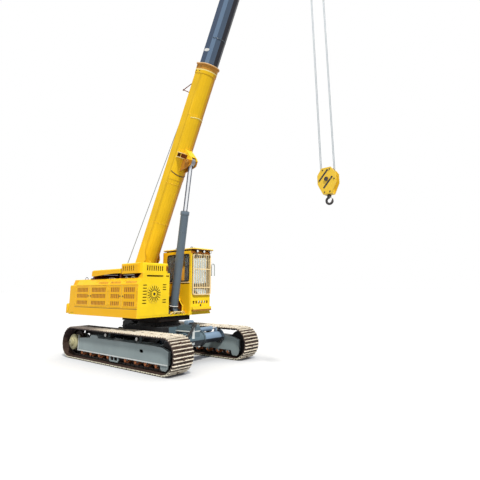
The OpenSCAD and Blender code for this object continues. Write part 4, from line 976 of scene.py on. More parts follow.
def shoe_bars():
    """The two bars of a shoe, tapered towards their tips."""
    parts = []
    for x in (-0.032, 0.056):
        low, high = (x - 0.017, -HALF_SHOE + 0.002, -0.004), (x + 0.017, HALF_SHOE - 0.002, BAR_H - 0.0005)
        parts.append(tapered(low, high, top_face, (0.55, 0.985, 1), (x, 0, BAR_H), 0.003, 1))
    return merged("bars", parts)


def track_link():
    """Two link plates with their boss ends and the pin, below a shoe."""
    parts = []
    for y in (-LINK_Y, LINK_Y):
        low, high = (-0.095, y - 0.014, -0.060), (0.095, y + 0.014, -0.002)
        parts.append(tapered(low, high, bottom_face, (0.72, 1, 1), (0, y, -0.06), 0.005, 1))
        parts.append(bar((PIN_X, y - 0.020, PIN_Z), (PIN_X, y + 0.020, PIN_Z), 0.026, 12, 0.004, 1))
    parts.append(bar((PIN_X, -0.093, PIN_Z), (PIN_X, 0.093, PIN_Z), 0.016, 10, 0.003, 1))
    return merged("link", parts)


def packed_dirt():
    """Dirt packed in a shoe's clean-out hole and over the bars beside it."""
    low, high = (-0.040, -0.034, -0.006), (0.064, 0.034, BAR_H + 0.0004)
    return tapered(low, high, top_face, (0.86, 0.70, 1), (0.012, 0, 0), 0.004, 1)


def round_the_loop(pattern, drop, side, step=1):
    copies = []
    for index in range(0, SHOES, step):
        centre, angle = on_loop((index + 0.5) * PITCH)
        out = Vector((math.cos(angle), 0, math.sin(angle)))
        spot = Vector((SLEW_X, side * TRACK_Y, TRACK_R)) + centre + out * (TRACK_R - drop)
        turn = Matrix.Rotation(math.pi / 2 - angle, 4, "Y")
        copies.append(copy_at(pattern, Matrix.Translation(spot) @ turn))
    return copies


# pattern, tag, depth below the loop, finish and how many shoes apart
track_patterns = (
    (shoe_plate(), "shoes", BAR_H, shoe_steel, 1), (shoe_bars(), "bars", BAR_H, bar_steel, 1),
    (track_link(), "links", BAR_H + SHOE_T, link_steel, 1), (packed_dirt(), "dirt", BAR_H, tar_brown, 2),
)
for side_name, side in SIDES:
    for pattern, tag, drop, finish, step in track_patterns:
        piece = dress(
            f"track_{tag}_{side_name}", round_the_loop(pattern, drop, side, step), finish, "undercarriage",
            30,
        )
        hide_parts(f"track_{side_name}")
for pattern, *_ in track_patterns:
    bpy.data.objects.remove(pattern)

# Undercarriage fittings

# place and top of the dark plates behind the upper run, which paint shade
SHADE_PLATE_Y, SHADE_PLATE_TOP = 1.188, 0.862
LIP_Y = 1.5495
ROLLER_SHARES = (-0.764, -0.543, -0.332, -0.135, 0.247, 0.449, 0.638, 0.831)
for side_name, side in SIDES:
    drive = on_machine(-TRACK_C, 0, TRACK_R)
    outward = Vector((0, side, 0))
    cover = dished(drive + outward * 1.6595, drive + outward * 1.672, 0.088, 32, 0.004, 0.040, -0.004)
    cover_bolts = bolt_ring(drive + outward * 1.6715, outward, 0.068, 8, 0.009, 0.010)
    dress(f"drive_cover_{side_name}", [cover] + cover_bolts, drive_khaki, "undercarriage")
    rim_bolts = bolt_ring(drive + outward * 1.5715, outward, 0.214, 20, 0.009, 0.012)
    rim_bolts += bolt_ring(drive + outward * 1.611, outward, 0.158, 12, 0.009, 0.010)
    dress(f"drive_bolts_{side_name}", rim_bolts, bare_steel, "undercarriage")
    brackets = []
    for share in ROLLER_SHARES:
        centre = on_machine(share * TRACK_C, side * 1.5375, 0.185)
        low, high = centre + Vector((-0.072, 0, -0.050)), centre + Vector((0.072, side * 0.011, 0.066))
        brackets.append(tapered(low, high, bottom_face, (0.36, 1, 1), centre, 0.004, 2))
        brackets.append(
            dished(centre + outward * 0.010, centre + outward * 0.024, 0.040, 20, 0.005, 0.014, -0.004)
        )
    dress(f"roller_brackets_{side_name}", brackets, roller_rust, "undercarriage")
    # dark plates in the gaps between the rollers: painted shade under the machine
    gap_shades = []
    for rear, front in zip(ROLLER_SHARES[:-1], ROLLER_SHARES[1:]):
        low = on_machine(rear * TRACK_C + 0.10, side * TRACK_Y - 0.010, 0.120)
        high = on_machine(front * TRACK_C - 0.10, side * TRACK_Y + 0.010, 0.300)
        middle = on_machine((rear + front) / 2 * TRACK_C, side * TRACK_Y, 0.12)
        gap_shades.append(tapered(low, high, bottom_face, (0.97, 0.7, 1), middle, 0.003, 1))
    dress(f"roller_gap_shade_{side_name}", gap_shades, tar_brown, "undercarriage")
    # dark plates on the frame's inner side behind the upper run: painted shade
    low = on_machine(-1.925, side * SHADE_PLATE_Y, 0.560)
    high = on_machine(-0.55, side * (SHADE_PLATE_Y + 0.016), SHADE_PLATE_TOP)
    shade_plate = panelled(low, high, side_faces, 0.030, 0.003, 0.003, 1)
    low = on_machine(-2.20, side * SHADE_PLATE_Y, 0.695)
    high = on_machine(-1.90, side * (SHADE_PLATE_Y + 0.014), SHADE_PLATE_TOP)
    shade_tail = panelled(low, high, side_faces, 0.020, 0.002, 0.003, 1)
    dress(f"run_shade_{side_name}", [shade_plate, shade_tail], chassis_dark, "undercarriage")
    caps = []
    for share in (-0.274, 0.404):
        centre = on_machine(share * TRACK_C, side * 1.4615, 0.7547)
        caps.append(dished(centre, centre + outward * 0.016, 0.046, 24, 0.005, 0.014, -0.005))
    dress(f"carrier_caps_{side_name}", caps, white_enamel, "undercarriage")
    lip_spots = [on_machine(x, side * LIP_Y, 0.236) for x in (-0.19, 0.0025, 0.195)]
    guard_bolts = bolts(lip_spots, outward, 0.009, 0.010)
    nose_spots = [on_machine(TRACK_C + x, side * LIP_Y, 0.150) for x in (-0.12, 0.0)]
    guard_bolts += bolts(nose_spots, outward, 0.009, 0.010)
    dress(f"guard_bolts_{side_name}", guard_bolts, bare_steel, "undercarriage")

# slew ring bolts on the carbody's top
ring_spots = [spot for spot in circle_of(on_machine(0, 0, 0.9845), Z_WAY, 0.668, 36) if abs(spot.y) < 0.58]
dress("ring_bolts", bolts(ring_spots, Z_WAY, 0.016, 0.022), dark_steel, "undercarriage")

# valve block on the front beam, its hoses and the small cylinder over the front tube
valve = slab((1.30, -0.120, 1.049), (1.48, 0.120, 1.150), 0.010)
inset(valve, top_face, 0.030, 0.012)
HOSE_Y = (-0.09, -0.03, 0.03, 0.09)
ports = bolts([on_machine(1.479, y, 1.10) for y in HOSE_Y], X_WAY, 0.018, 0.028)
dress("valve_block", [valve] + ports, tube_blue, "undercarriage")
hoses = []
for index, y in enumerate(HOSE_Y):
    step = 0.030 * index
    hoses.append(
        hose(
            [
                (1.505, y, 1.10), (1.60, y, 1.105), (1.735, y - 0.10, 1.06), (1.80, -0.20 - step, 0.95),
                (1.80, -0.36 - step, 0.80), (1.78, -0.55, 0.66 + step), (1.73, -0.85, 0.50 + step),
                (1.70, -1.185, 0.42 + step),
            ],
            0.013,
        )
    )
dress("drive_hoses", hoses, rubber_black, "undercarriage")
RAM_X, RAM_Z = 1.53, 0.885
ram = bar(on_machine(RAM_X, 0.30, RAM_Z), on_machine(RAM_X, 0.78, RAM_Z), 0.062, 28, 0.006)
ram_head = bar(on_machine(RAM_X, 0.735, RAM_Z), on_machine(RAM_X, 0.80, RAM_Z), 0.074, 28, 0.006)
ram_rod = bar(on_machine(RAM_X, 0.79, RAM_Z), on_machine(RAM_X, 1.02, RAM_Z), 0.030, 20)
dress("track_ram", [ram, ram_head], tube_blue, "undercarriage")
dress("track_ram_rod", [ram_rod], bright_rod, "undercarriage")
seats = []
for y in (0.34, 1.00):
    low, high = on_machine(1.47, y - 0.02, 0.765), on_machine(1.59, y + 0.02, 0.905)
    seats.append(tapered(low, high, top_face, (0.55, 1, 1), on_machine(RAM_X, y, 0.9), 0.006, 2))
dress("track_ram_seats", seats, tube_blue, "undercarriage")
for end_name, end in (("front", 1), ("rear", -1)):
    for side_name, side in SIDES:
        centre = on_machine(end * 1.53, side * 1.139, 0.63)
        flange_bolts = bolt_ring(centre, (0, -side, 0), 0.178, 12, 0.013, 0.016)
        dress(f"tube_bolts_{end_name}_{side_name}", flange_bolts, bare_steel, "undercarriage")

# Superstructure fittings

DOOR_FACE = 1.465
BEAD_IN = 1.4645
BEAD_OUT = BEAD_IN + 0.004


def door_latch(name, x, z, side, body):
    """A round paddle latch set on a side door."""
    face = side * DOOR_FACE
    rear, front = on_machine(x, face - side * 0.002, z), on_machine(x, face + side * 0.007, z)
    bezel = dished(rear, front, 0.024, 24, 0.003, 0.006, -0.004)
    paddle = slab(
        (x - 0.014, face + side * 0.002, z - 0.007), (x + 0.014, face + side * 0.011, z + 0.007), 0.002,
    )
    return dress(name, [bezel, paddle], rubber_black, body)


for doors, side in ((RIGHT_DOORS, -1), (LEFT_DOORS, 1)):
    for door_name, (rear, front, free) in doors.items():
        free_edge = front - 0.05 if free > 0 else rear + 0.05
        body = f"side_door_{door_name}"
        door_latch(f"latch_{door_name}", free_edge, 1.88, side, body)
        # a brown sheet behind the door's louvres: painted shade seen through them
        backing = slab((rear + 0.06, side * 1.4475, 1.590), (front - 0.06, side * 1.4440, 2.150), 0.001, 1)
        dress(f"louvre_shade_sheet_{door_name}", [backing], louvre_shade_brown, body)
        # pressed beads along the door
        beads = [
            slab((rear + 0.04, side * BEAD_IN, low), (front - 0.04, side * BEAD_OUT, high), 0.0018, 1)
            for low, high in ((1.60, 1.613), (2.150, 2.163))
        ]
        dress(f"door_beads_{door_name}", beads, body_yellow, body)

# a dark strip over the skirt band on both sides: the gap under the doors and painted shadow of their lower
# edge
for side_name, side, front in (("right", -1, 0.845), ("left", 1, -0.52)):
    strip = slab((-2.54, side * BEAD_IN, 1.5205), (front, side * 1.4690, 1.5330), 0.0015, 1)
    dress(f"skirt_gap_shadow_{side_name}", [strip], tar_brown, "upper")

# pressed louvres on the shoulders, in three groups on the right and one on the left, brown for painted shade
# in their openings
for side_name, side, groups in (("right", -1, (-1.19, -0.53, 0.24)), ("left", 1, (-1.19,))):
    ribs = []
    for start in groups:
        for index in range(8):
            low, high = (-0.019, -0.040, -0.004), (0.019, 0.040, 0.010)
            rib = tapered(low, high, top_face, (0.60, 0.85, 1), (0, 0, 0.010), 0.002, 1)
            spot = on_machine(start + 0.066 * index, side * 1.4245, 2.274)
            ribs.append(place_by(rib, spot, X_WAY, (0, -0.6 * side, 0.8), (0, 0.8 * side, 0.6)))
    dress(f"shoulder_louvres_{side_name}", ribs, shoulder_louvre_shade, "upper")

# lower band round the counterweight's rear
lower_band = slab((-3.135, -1.450, 1.305), (-3.030, 1.450, 1.625), 0)
cut(lower_band, on_machine(-3.135, 0, 1.590), (-1.0, 0, 1.0))
bevel_all(lower_band, 0.018, 2)
dress("counterweight_band", [lower_band], body_yellow, "upper")

# vent boss and its bolts on the front panel
FRONT = 0.858
VENT = on_machine(FRONT, -0.900, 1.940)
boss = dished(VENT + Vector((-0.012, 0, 0)), VENT + Vector((0.022, 0, 0)), 0.036, 24, 0.006, 0.012, -0.006)
dress("vent_boss", [boss], rubber_black, "upper")
vent_bolts = bolt_ring(VENT + Vector((0.008, 0, 0)), X_WAY, 0.246, 8, 0.007, 0.007, 0.39)
dress("vent_ring_bolts", vent_bolts, body_yellow, "upper")
panel_bolts = [on_machine(FRONT, y, z) for y in (-1.435, -0.365) for z in (1.40, 1.68, 1.96, 2.18)]
dress("panel_bolts", bolts(panel_bolts, X_WAY, 0.009, 0.008), body_yellow, "upper")

# humps at the low hood's rear edge, lifting eyes and a filler cap
humps = []
for index in range(4):
    y = -1.12 + index * 0.20
    low, high = on_machine(-1.722, y - 0.035, 2.600), on_machine(-1.59, y + 0.035, 2.712)
    humps.append(tapered(low, high, top_face, (0.50, 0.6, 1), on_machine(-1.62, y, 2.70), 0.012, 3))
dress("hood_humps", humps, body_yellow, "hood_lid")


def lifting_eye(name, foot, way, material=chassis_dark, size=1.0):
    """A bent round bar with its two feet on a pad, its foot given from the slew axis."""
    foot, way = on_machine(*foot), Vector(way) * 0.045 * size
    top = Vector((0, 0, 0.085 * size))
    loop = pipe([
        foot - way, foot - way + top * 0.7, foot - way * 0.6 + top,
        foot + way * 0.6 + top, foot + way + top * 0.7, foot + way,
    ], 0.009 * size)
    low = foot - way * 1.5 - Vector((0.02, 0.02, 0.002)) * size
    high = foot + way * 1.5 + Vector((0.02, 0.02, 0.006)) * size
    pad = block(low, high, 0.002, 1)
    return dress(name, [loop, pad], material, "upper")


lifting_eye("eye_weight_right", (-2.72, -1.00, 2.40), Y_WAY)
lifting_eye("eye_weight_left", (-2.72, 1.00, 2.40), Y_WAY)
lifting_eye("eye_block_front", (0.60, -0.90, 2.83), X_WAY, body_yellow, 0.8)
lifting_eye("eye_cab_front", (0.55, 0.86, 3.365), X_WAY, size=1.1)
lifting_eye("eye_cab_rear", (-0.20, 0.86, 3.365), X_WAY, size=1.1)

filler = dished(
    on_machine(-2.10, -1.13, 2.398), on_machine(-2.10, -1.13, 2.425), 0.075, 28, 0.006, 0.020, 0.010,
)
grip = slab((-2.16, -1.142, 2.430), (-2.04, -1.118, 2.450), 0.006)
dress("tank_cap", [filler, grip], rubber_black, "upper")

# engine bay: silencer, air filter and pipes seen through the gap and the louvres
silencer = bar(on_machine(-1.40, -0.80, 2.32), on_machine(-0.60, -0.80, 2.32), 0.105, 28, 0.02)
cleaner = bar(on_machine(-0.35, -1.06, 2.33), on_machine(0.30, -1.06, 2.33), 0.120, 28, 0.02)
clamps = [hoop(on_machine(x, -0.80, 2.32), X_WAY, 0.108, 0.006) for x in (-1.30, -0.70)]
clamps += [hoop(on_machine(x, -1.06, 2.33), X_WAY, 0.123, 0.006) for x in (-0.25, 0.20)]
dress("silencer", [silencer], roller_rust, "upper")
dress("air_cleaner", [cleaner], rubber_black, "upper")
dress("bay_clamps", clamps, bare_steel, "upper")
bay_pipes = [
    hose(
        [
            (-1.45, -1.22, 2.18), (-1.20, -1.24, 2.36), (-0.70, -1.22, 2.40), (-0.45, -1.10, 2.36),
            (-0.36, -1.06, 2.33),
        ],
        0.024,
    ),
    hose(
        [
            (-1.40, -1.02, 2.17), (-1.10, -1.10, 2.30), (-0.60, -1.10, 2.28), (-0.20, -1.20, 2.17),
            (0.2, -1.22, 2.16),
        ],
        0.016,
    ),
]
dress("bay_pipes", bay_pipes, bare_steel, "upper")
bay_hoses = [
    hose([(-0.95, -1.27, 2.395), (-0.86, -1.28, 2.425), (-0.66, -1.28, 2.420), (-0.52, -1.27, 2.395)], 0.010),
    hose([(-0.08, -1.25, 2.30), (-0.06, -1.285, 2.44), (0.08, -1.285, 2.430), (0.16, -1.27, 2.35)], 0.011),
    hose([(0.20, -1.25, 2.30), (0.24, -1.285, 2.43), (0.40, -1.285, 2.445), (0.48, -1.27, 2.36)], 0.011),
]
dress("bay_hoses", bay_hoses, white_enamel, "upper")
rear_wall = slab((-1.705, -1.262, 2.397), (-1.695, -0.403, 2.545), 0.002, 1)
inset(rear_wall, end_faces, 0.020, -0.002)
dress("bay_rear_wall", [rear_wall], bay_lining, "upper")

# hoses over the lifting cylinder's foot and a drain plug under the cab's grille
foot_hoses = [
    hose(
        [
            (0.862, -0.27, 1.325), (0.880, -0.25, 1.370), (0.886, -0.10, 1.405), (0.886, 0.06, 1.375),
            (0.866, 0.08, 1.325),
        ],
        0.013,
    ),
    hose(
        [
            (0.862, -0.13, 1.325), (0.886, -0.11, 1.375), (0.892, 0.02, 1.400), (0.886, 0.20, 1.375),
            (0.866, 0.23, 1.325),
        ],
        0.013,
    ),
    hose([(0.862, 0.02, 1.325), (0.880, 0.10, 1.385), (0.876, 0.26, 1.420), (0.862, 0.31, 1.330)], 0.011),
]
dress("foot_hoses", foot_hoses, hose_cream, "upper")
plug = dished(on_machine(0.997, 0.86, 1.560), on_machine(1.014, 0.86, 1.560), 0.030, 24, 0.004, 0.010, -0.005)
dress("cab_drain_plug", [plug], rubber_black, "upper")
rocker = slab((-1.40, -0.98, 2.158), (-0.60, -0.62, 2.215), 0.015)
inset(rocker, top_face, 0.03, 0.012)
rocker_spots = [on_machine(-1.30 + 0.2 * step, y, 2.224) for step in range(4) for y in (-0.95, -0.65)]
rocker_bolts = bolts(rocker_spots, Z_WAY, 0.010, 0.012)
dress("rocker_cover", [rocker] + rocker_bolts, frame_grey, "upper")

# Cab fittings

CAB_IN, CAB_OUT, CAB_REAR, CAB_FRONT = 0.400, 1.330, -0.400, 1.000
gaskets = [
    rounded_frame((-0.118, 2.312), (0.928, 3.168), "y", 0.016, CAB_IN - 0.001),
    rounded_frame((-0.318, 2.392), (-0.102, 3.128), "y", 0.010, CAB_OUT + 0.001),
    rounded_frame((0.472, 1.892), (1.258, 3.188), "x", 0.010, CAB_FRONT + 0.001),
    rounded_frame((0.512, 2.442), (1.218, 3.128), "x", 0.010, CAB_REAR - 0.001),
]
dress("window_seals", gaskets, rubber_black, "upper")
door_seals = [
    rounded_frame((0.052, 2.242), (0.808, 3.118), "y", 0.008, CAB_OUT + 0.001),
    rounded_frame((0.052, 1.612), (0.808, 2.068), "y", 0.008, CAB_OUT + 0.001),
]
dress("door_seals", door_seals, rubber_black, "entry_door")
sill = slab((-0.17, CAB_IN + 0.001, 2.262), (0.96, CAB_IN - 0.016, 2.288), 0.005)
dress("window_sill", [sill], guard_peach, "upper")
sill_line = slab((-0.17, CAB_IN + 0.001, 2.240), (0.96, CAB_IN - 0.006, 2.259), 0.002, 1)
dress("sill_line", [sill_line], rubber_black, "upper")

for index, y in enumerate((0.56, 0.86, 1.16)):
    housing = bar(on_machine(1.085, y, 3.262), on_machine(1.150, y, 3.255), 0.050, 24, 0.008)
    inset(housing, front_face, 0.008, -0.010)
    neck = bar(on_machine(1.11, y, 3.29), on_machine(1.11, y, 3.318), 0.012, 12, 0.002)
    dress(f"lamp_body_{index + 1}", [housing, neck], chassis_dark, "upper")
    lens_disc = bar(on_machine(1.138, y, 3.2565), on_machine(1.147, y, 3.2555), 0.041, 24, 0.004)
    dress(f"lamp_lens_{index + 1}", [lens_disc], lamp_glass, "upper")

arm = hose([(0.975, 0.95, 1.88), (1.012, 0.95, 1.90), (1.012, 0.98, 2.2), (1.012, 1.06, 2.62)], 0.007)
blade = slab((1.003, 1.02, 2.33), (1.014, 1.036, 2.93), 0.003)
dress("wiper", [arm, blade], rubber_black, "upper")

handle = hose([(0.835, 1.352, 2.10), (0.835, 1.385, 2.11), (0.835, 1.385, 2.21), (0.835, 1.352, 2.22)], 0.010)
dress("door_pull", [handle], rubber_black, "entry_door")

CAB_FLOOR = 1.390
mat = slab((-0.33, 0.47, CAB_FLOOR + 0.001), (0.93, 1.26, CAB_FLOOR + 0.010), 0.003)
ribs = [
    slab((x, 0.62, CAB_FLOOR + 0.009), (x + 0.02, 1.12, CAB_FLOOR + 0.014), 0.002, 1)
    for x in (0.52 + 0.06 * step for step in range(6))
]
dress("floor_mat", [mat] + ribs, rubber_black, "upper")
low, high = on_machine(0.80, 0.56, 1.392), on_machine(0.93, 0.76, 2.02)
dash = tapered(low, high, top_face, (0.7, 0.9, 1), on_machine(0.90, 0.66, 2.02), 0.02, 3)
screen = panelled(
    on_machine(0.79, 0.58, 2.00), on_machine(0.82, 0.76, 2.14), rear_face, 0.012, -0.004, 0.004, 1,
)
dress("gauge_stand", [dash, screen], cab_trim, "upper")
knobs = []
for y in (0.52, 1.17):
    grip_ball = bar(on_machine(0.46, y, 2.06), on_machine(0.47, y, 2.20), 0.024, 16, 0.012, 3)
    boot = bar(on_machine(0.46, y, 1.945), on_machine(0.46, y, 1.99), 0.045, 20, 0.018, 3)
    knobs += [grip_ball, boot]
for y in (0.78, 0.92):
    pedal = slab((0.62, y - 0.045, 1.405), (0.78, y + 0.045, 1.425), 0.005)
    shift(pedal, front_face, (0, 0, 0.07))
    knobs.append(pedal)
    knobs.append(bar(on_machine(0.70, y, 1.43), on_machine(0.66, y, 1.62), 0.008, 10, 0.002))
dress("levers_and_pedals", knobs, rubber_black, "upper")
linings = [
    slab((-0.350, 0.46, 1.46), (-0.340, 1.27, 2.43), 0.004),
    slab((-0.30, 0.50, 3.225), (0.90, 1.23, 3.238), 0.005),
    slab((-0.10, 0.450, 1.46), (0.85, 0.458, 2.28), 0.003),
]
dress("cab_lining", linings, cab_trim, "upper")


def cushion(name, low, high, crown):
    """A crowned pad: a block with its middle raised and its edges rolled, given from the slew axis."""
    low, high = on_machine(*low), on_machine(*high)
    pad = block(low, high, 0)
    pick(pad)
    bpy.ops.object.mode_set(mode="EDIT")
    bpy.ops.mesh.select_all(action="SELECT")
    bpy.ops.mesh.bevel(offset=min(high - low) * 0.32, segments=3, affect="EDGES", clamp_overlap=True)
    bpy.ops.mesh.subdivide(number_cuts=3)
    bpy.ops.object.mode_set(mode="OBJECT")
    middle = (low + high) / 2
    half = (high - low) / 2
    thin = min(range(3), key=lambda axis: half[axis])
    wide = [axis for axis in range(3) if axis != thin]
    for point in pad.data.vertices:
        u, v = ((point.co[axis] - middle[axis]) / half[axis] for axis in wide)
        lift = crown * max(0.0, 1 - u * u) * max(0.0, 1 - v * v)
        side = 1 if point.co[thin] > middle[thin] else -1
        if side > 0:
            point.co[thin] += lift
        for axis, share in zip(wide, (v, u)):
            pull = 1 - 0.05 * (1 - share * share)
            point.co[axis] = middle[axis] + (point.co[axis] - middle[axis]) * pull
    smooth = pad.modifiers.new("smooth", "SUBSURF")
    smooth.levels = smooth.render_levels = 1
    pick(pad)
    bpy.ops.object.modifier_apply(modifier="smooth")
    dress(name, [pad], seat_cloth, "upper", 60)


cushion("seat_cushion", (0.00, 0.615, 1.800), (0.47, 1.085, 1.875), 0.030)
cushion("seat_back", (-0.015, 0.640, 1.880), (0.075, 1.060, 2.400), 0.022)
cushion("head_pad", (-0.045, 0.740, 2.440), (0.015, 0.960, 2.600), 0.012)

# Boom fittings

# width, depth and top of the sections above the foot's axis line
BASE_SIZE = (0.600, 0.574, 0.339)
FLY_ONE_SIZE = (0.529, 0.503, 0.3035)
BASE_W = BASE_SIZE[0]
ROD_EYE_S, ROD_EYE_N = 4.5827, -0.4999

# doubler plates beside the foot, their pointed tops towards the head
for side_name, side in SIDES:
    plate = block((0.52, -0.004, -0.16), (1.62, 0.004, 0.27), 0)
    for point, outward in (
        ((0.52, 0, -0.02), (-0.140, 0, -0.580)), ((1.62, 0, 0.20), (0.360, 0, -0.520)),
        ((0.52, 0, 0.27), (0.070, 0, 1.100)),
    ):
        cut(plate, point, outward)
    bevel_all(plate, 0.003, 1)
    place_by(plate, FOOT + Vector((0, side * (BASE_W / 2 + 0.001), 0)), ALONG, Y_WAY, UPWARD)
    dress(f"foot_doubler_{side_name}", [plate], boom_yellow, "base_section")
    pin_cap = dished(
        on_boom(0, 0, side * 0.296), on_boom(0, 0, side * 0.312), 0.085, 32, 0.005, 0.025, -0.004,
    )
    cap_bolts = bolt_ring(on_boom(0, 0, side * 0.311), (0, side, 0), 0.066, 6, 0.010, 0.010)
    dress(f"foot_pin_cap_{side_name}", [pin_cap] + cap_bolts, dark_steel, "base_section")
    inner, outer = (on_boom(ROD_EYE_S, ROD_EYE_N, side * y) for y in (0.1845, 0.196))
    eye_cap = dished(inner, outer, 0.062, 28, 0.004, 0.018, -0.003)
    dress(f"eye_boss_cap_{side_name}", [eye_cap], boom_yellow, "base_section")


def belly_band(
    name, s, thickness, proud, material, start=0, lean=0.0, body="base_section", size=BASE_SIZE,
):
    """A band round the underside, start degrees in from either side and leaning back towards the belly."""
    width, depth, top = size
    points = []
    for step in range(19):
        angle = math.radians(-start - (180 - 2 * start) * step / 18)
        y = width / 2 * math.cos(angle)
        n = top - depth * 0.52 + depth * 0.48 * math.sin(angle)
        outward = Vector((0, math.cos(angle), 0)) + UPWARD * math.sin(angle) * 0.9
        points.append(on_boom(s + lean * math.sin(angle), n, y) + outward.normalized() * proud)
    return dress(name, [pipe(points, thickness)], material, body)


for index, s in enumerate((2.35, 3.72, 6.05)):
    belly_band(f"weld_band_{index + 1}", s, 0.005, 0.001, boom_yellow)
# a dark line at a doubler's end, its gap and painted shadow; a pale line along a plate's edge, painted
# highlight
belly_band("doubler_shadow_line", 4.16, 0.016, 0.002, tar_brown, 14, 0.13)
belly_band("doubler_highlight_line", 5.90, 0.013, 0.003, pale_highlight, 32, -0.10)
belly_band("fly_ring", 8.62, 0.007, 0.001, barrel_grey, body="fly_one", size=FLY_ONE_SIZE)

# wear pad screws round the section mouths
mouths = (("base", 7.56, 0.312, 0.10, 0.26, "base_section"), ("fly", 12.07, 0.265, 0.08, 0.22, "fly_one"))
for tag, s, half, low, high, body in mouths:
    for side_name, side in SIDES:
        spots = [on_boom(s + step * 0.07, n, side * half) for step in (-1, 1) for n in (low, high)]
        screws = bolts(spots, (0, side, 0), 0.013, 0.014)
        dress(f"pad_screws_{tag}_{side_name}", screws, dark_steel, body)

# blank oval mark on the first fly section, both sides
for side_name, side in SIDES:
    disc = bar((0, 0, 0), (0, 0, 0.002), 0.5, 40)
    inset(disc, top_face, 0.05, 0.0004)
    disc.scale = (0.100, 0.25, 1)
    settle(disc)
    place_by(disc, on_boom(8.20, 0.13, side * 0.2645), ALONG * -side, UPWARD, (0, side, 0))
    dress(f"oval_mark_{side_name}", [disc], mark_white, "fly_one")

# rope arm on the right edge of the boom's back, and its twin on the left
for side_name, side in SIDES:
    tip = on_boom(6.808, 0.667, side * 0.270)
    struts = [bar(on_boom(s, 0.325, side * 0.285), tip, 0.014, 12, 0.002) for s in (7.039, 6.750)]
    eye = hoop(tip, (0, side, 0), 0.026, 0.008, 20)
    dress(f"rope_arm_{side_name}", struts + [eye], louvre_shade_brown, "base_section")

# guide roller flanges on the rope bracket's foot
GUIDE_S = 6.86
flanges = [
    bar(on_boom(GUIDE_S, 0.365, y), on_boom(GUIDE_S, 0.365, y + 0.008), 0.030, 24, 0.002)
    for y in (-0.055, 0.047)
]
dress("guide_flanges", flanges, dark_steel, "base_section")

# boom head: pin end caps and their bolts
for side_name, side in SIDES:
    outward = Vector((0, side, 0))
    cap = dished(HEAD + outward * 0.185, HEAD + outward * 0.205, 0.070, 28, 0.005, 0.020, -0.004)
    cap_bolts = bolt_ring(HEAD + outward * 0.204, outward, 0.055, 6, 0.008, 0.008)
    dress(f"head_cap_{side_name}", [cap] + cap_bolts, dark_steel, "fly_two")

# Lifting cylinder fittings

line_places = ((0.35, 0.150), (0.50, 0.158), (1.6, 0.158), (2.75, 0.158), (2.90, 0.150), (2.93, 0.120))
barrel_line = pipe([on_cylinder(s, n) for s, n in line_places], 0.014)
straps = [hoop(on_cylinder(s, 0), ROD_ALONG, 0.1295, 0.006, 36) for s in (0.75, 1.6, 2.45)]
dress("barrel_line", [barrel_line] + straps, barrel_grey, "cylinder")
holding = panelled((-0.06, -0.05, -0.09), (0.06, 0.05, 0.09), side_faces, 0.014, 0.010, 0.005, 2)
holding.rotation_mode = "QUATERNION"
holding.rotation_quaternion = ROD_ALONG.to_track_quat("Z", "Y")
holding.location = on_cylinder(0.33, 0.165)
settle(holding)
dress("holding_valve", [holding], dark_steel, "cylinder")
gland = bolt_ring(on_cylinder(3.10, 0), ROD_ALONG, 0.112, 12, 0.011, 0.014)
wiper_ring = hoop(on_cylinder(3.106, 0), ROD_ALONG, 0.078, 0.008, 36)
dress("gland_bolts", gland, dark_steel, "cylinder")
dress("rod_wiper", [wiper_ring], rubber_black, "cylinder")

foot_ring = hoop(on_cylinder(0.165, 0), ROD_ALONG, 0.1290, 0.0095, 40)
dress("barrel_foot_ring", [foot_ring], white_enamel, "cylinder")
foot_collar = bar(on_cylinder(0.140, 0), on_cylinder(0.156, 0), 0.1310, 40, 0.004)
dress("barrel_foot_collar", [foot_collar], rubber_black, "cylinder")

# Main hoist rope: drum, run over the boom's back, guide and head

ROPE_Y = -0.03
WRAP_R = 0.198
wraps = [hoop((WINCH.x, y / 1000, WINCH.z), Y_WAY, WRAP_R, 0.0082, 40, 6) for y in range(-200, 205, 17)]
dress("rope_on_drum", wraps, rope_wire, "winch", 60)
DRUM_TOP = WINCH + Vector((-0.06, ROPE_Y, WRAP_R))
HALFWAY = on_boom(0.35, 1.075, ROPE_Y)
GUIDE = on_boom(GUIDE_S, 0.548, ROPE_Y)
PAST_GUIDE = on_boom(8.30, 0.520, ROPE_Y)
FLY_MOUTH = on_boom(12.20, 0.436, ROPE_Y)
TIP_S, TIP_N = 16.17, 0.352
over_the_tip = ((14.0, 0.430), (15.60, 0.420), (TIP_S, TIP_N + 0.040), (16.45, 0.20), (16.76, -0.12))
for rope_name, points, body in (
    ("rope_off_drum", [DRUM_TOP, HALFWAY], "upper"),
    ("rope_to_guide", [HALFWAY, GUIDE], "base_section"),
    ("rope_past_guide", [GUIDE, PAST_GUIDE], "base_section"),
    ("rope_over_fly_one", [PAST_GUIDE, FLY_MOUTH], "fly_one"),
    ("rope_over_fly_two", [FLY_MOUTH] + [on_boom(s, n, ROPE_Y) for s, n in over_the_tip], "fly_two"),
):
    dress(rope_name, [pipe(points, 0.0125)], rope_wire, body)
tip_roller = bar(on_boom(TIP_S, TIP_N, -0.150), on_boom(TIP_S, TIP_N, 0.150), 0.026, 24, 0.003)
tip_ears = []
for y in (-0.160, 0.160):
    ear = block((-0.035, -0.006, -0.102), (0.035, 0.006, 0.030), 0.004)
    tip_ears.append(place_by(ear, on_boom(TIP_S, TIP_N, y), ALONG, Y_WAY, UPWARD))
dress("tip_roller", [tip_roller] + tip_ears, dark_steel, "fly_two")

# Hook block fittings

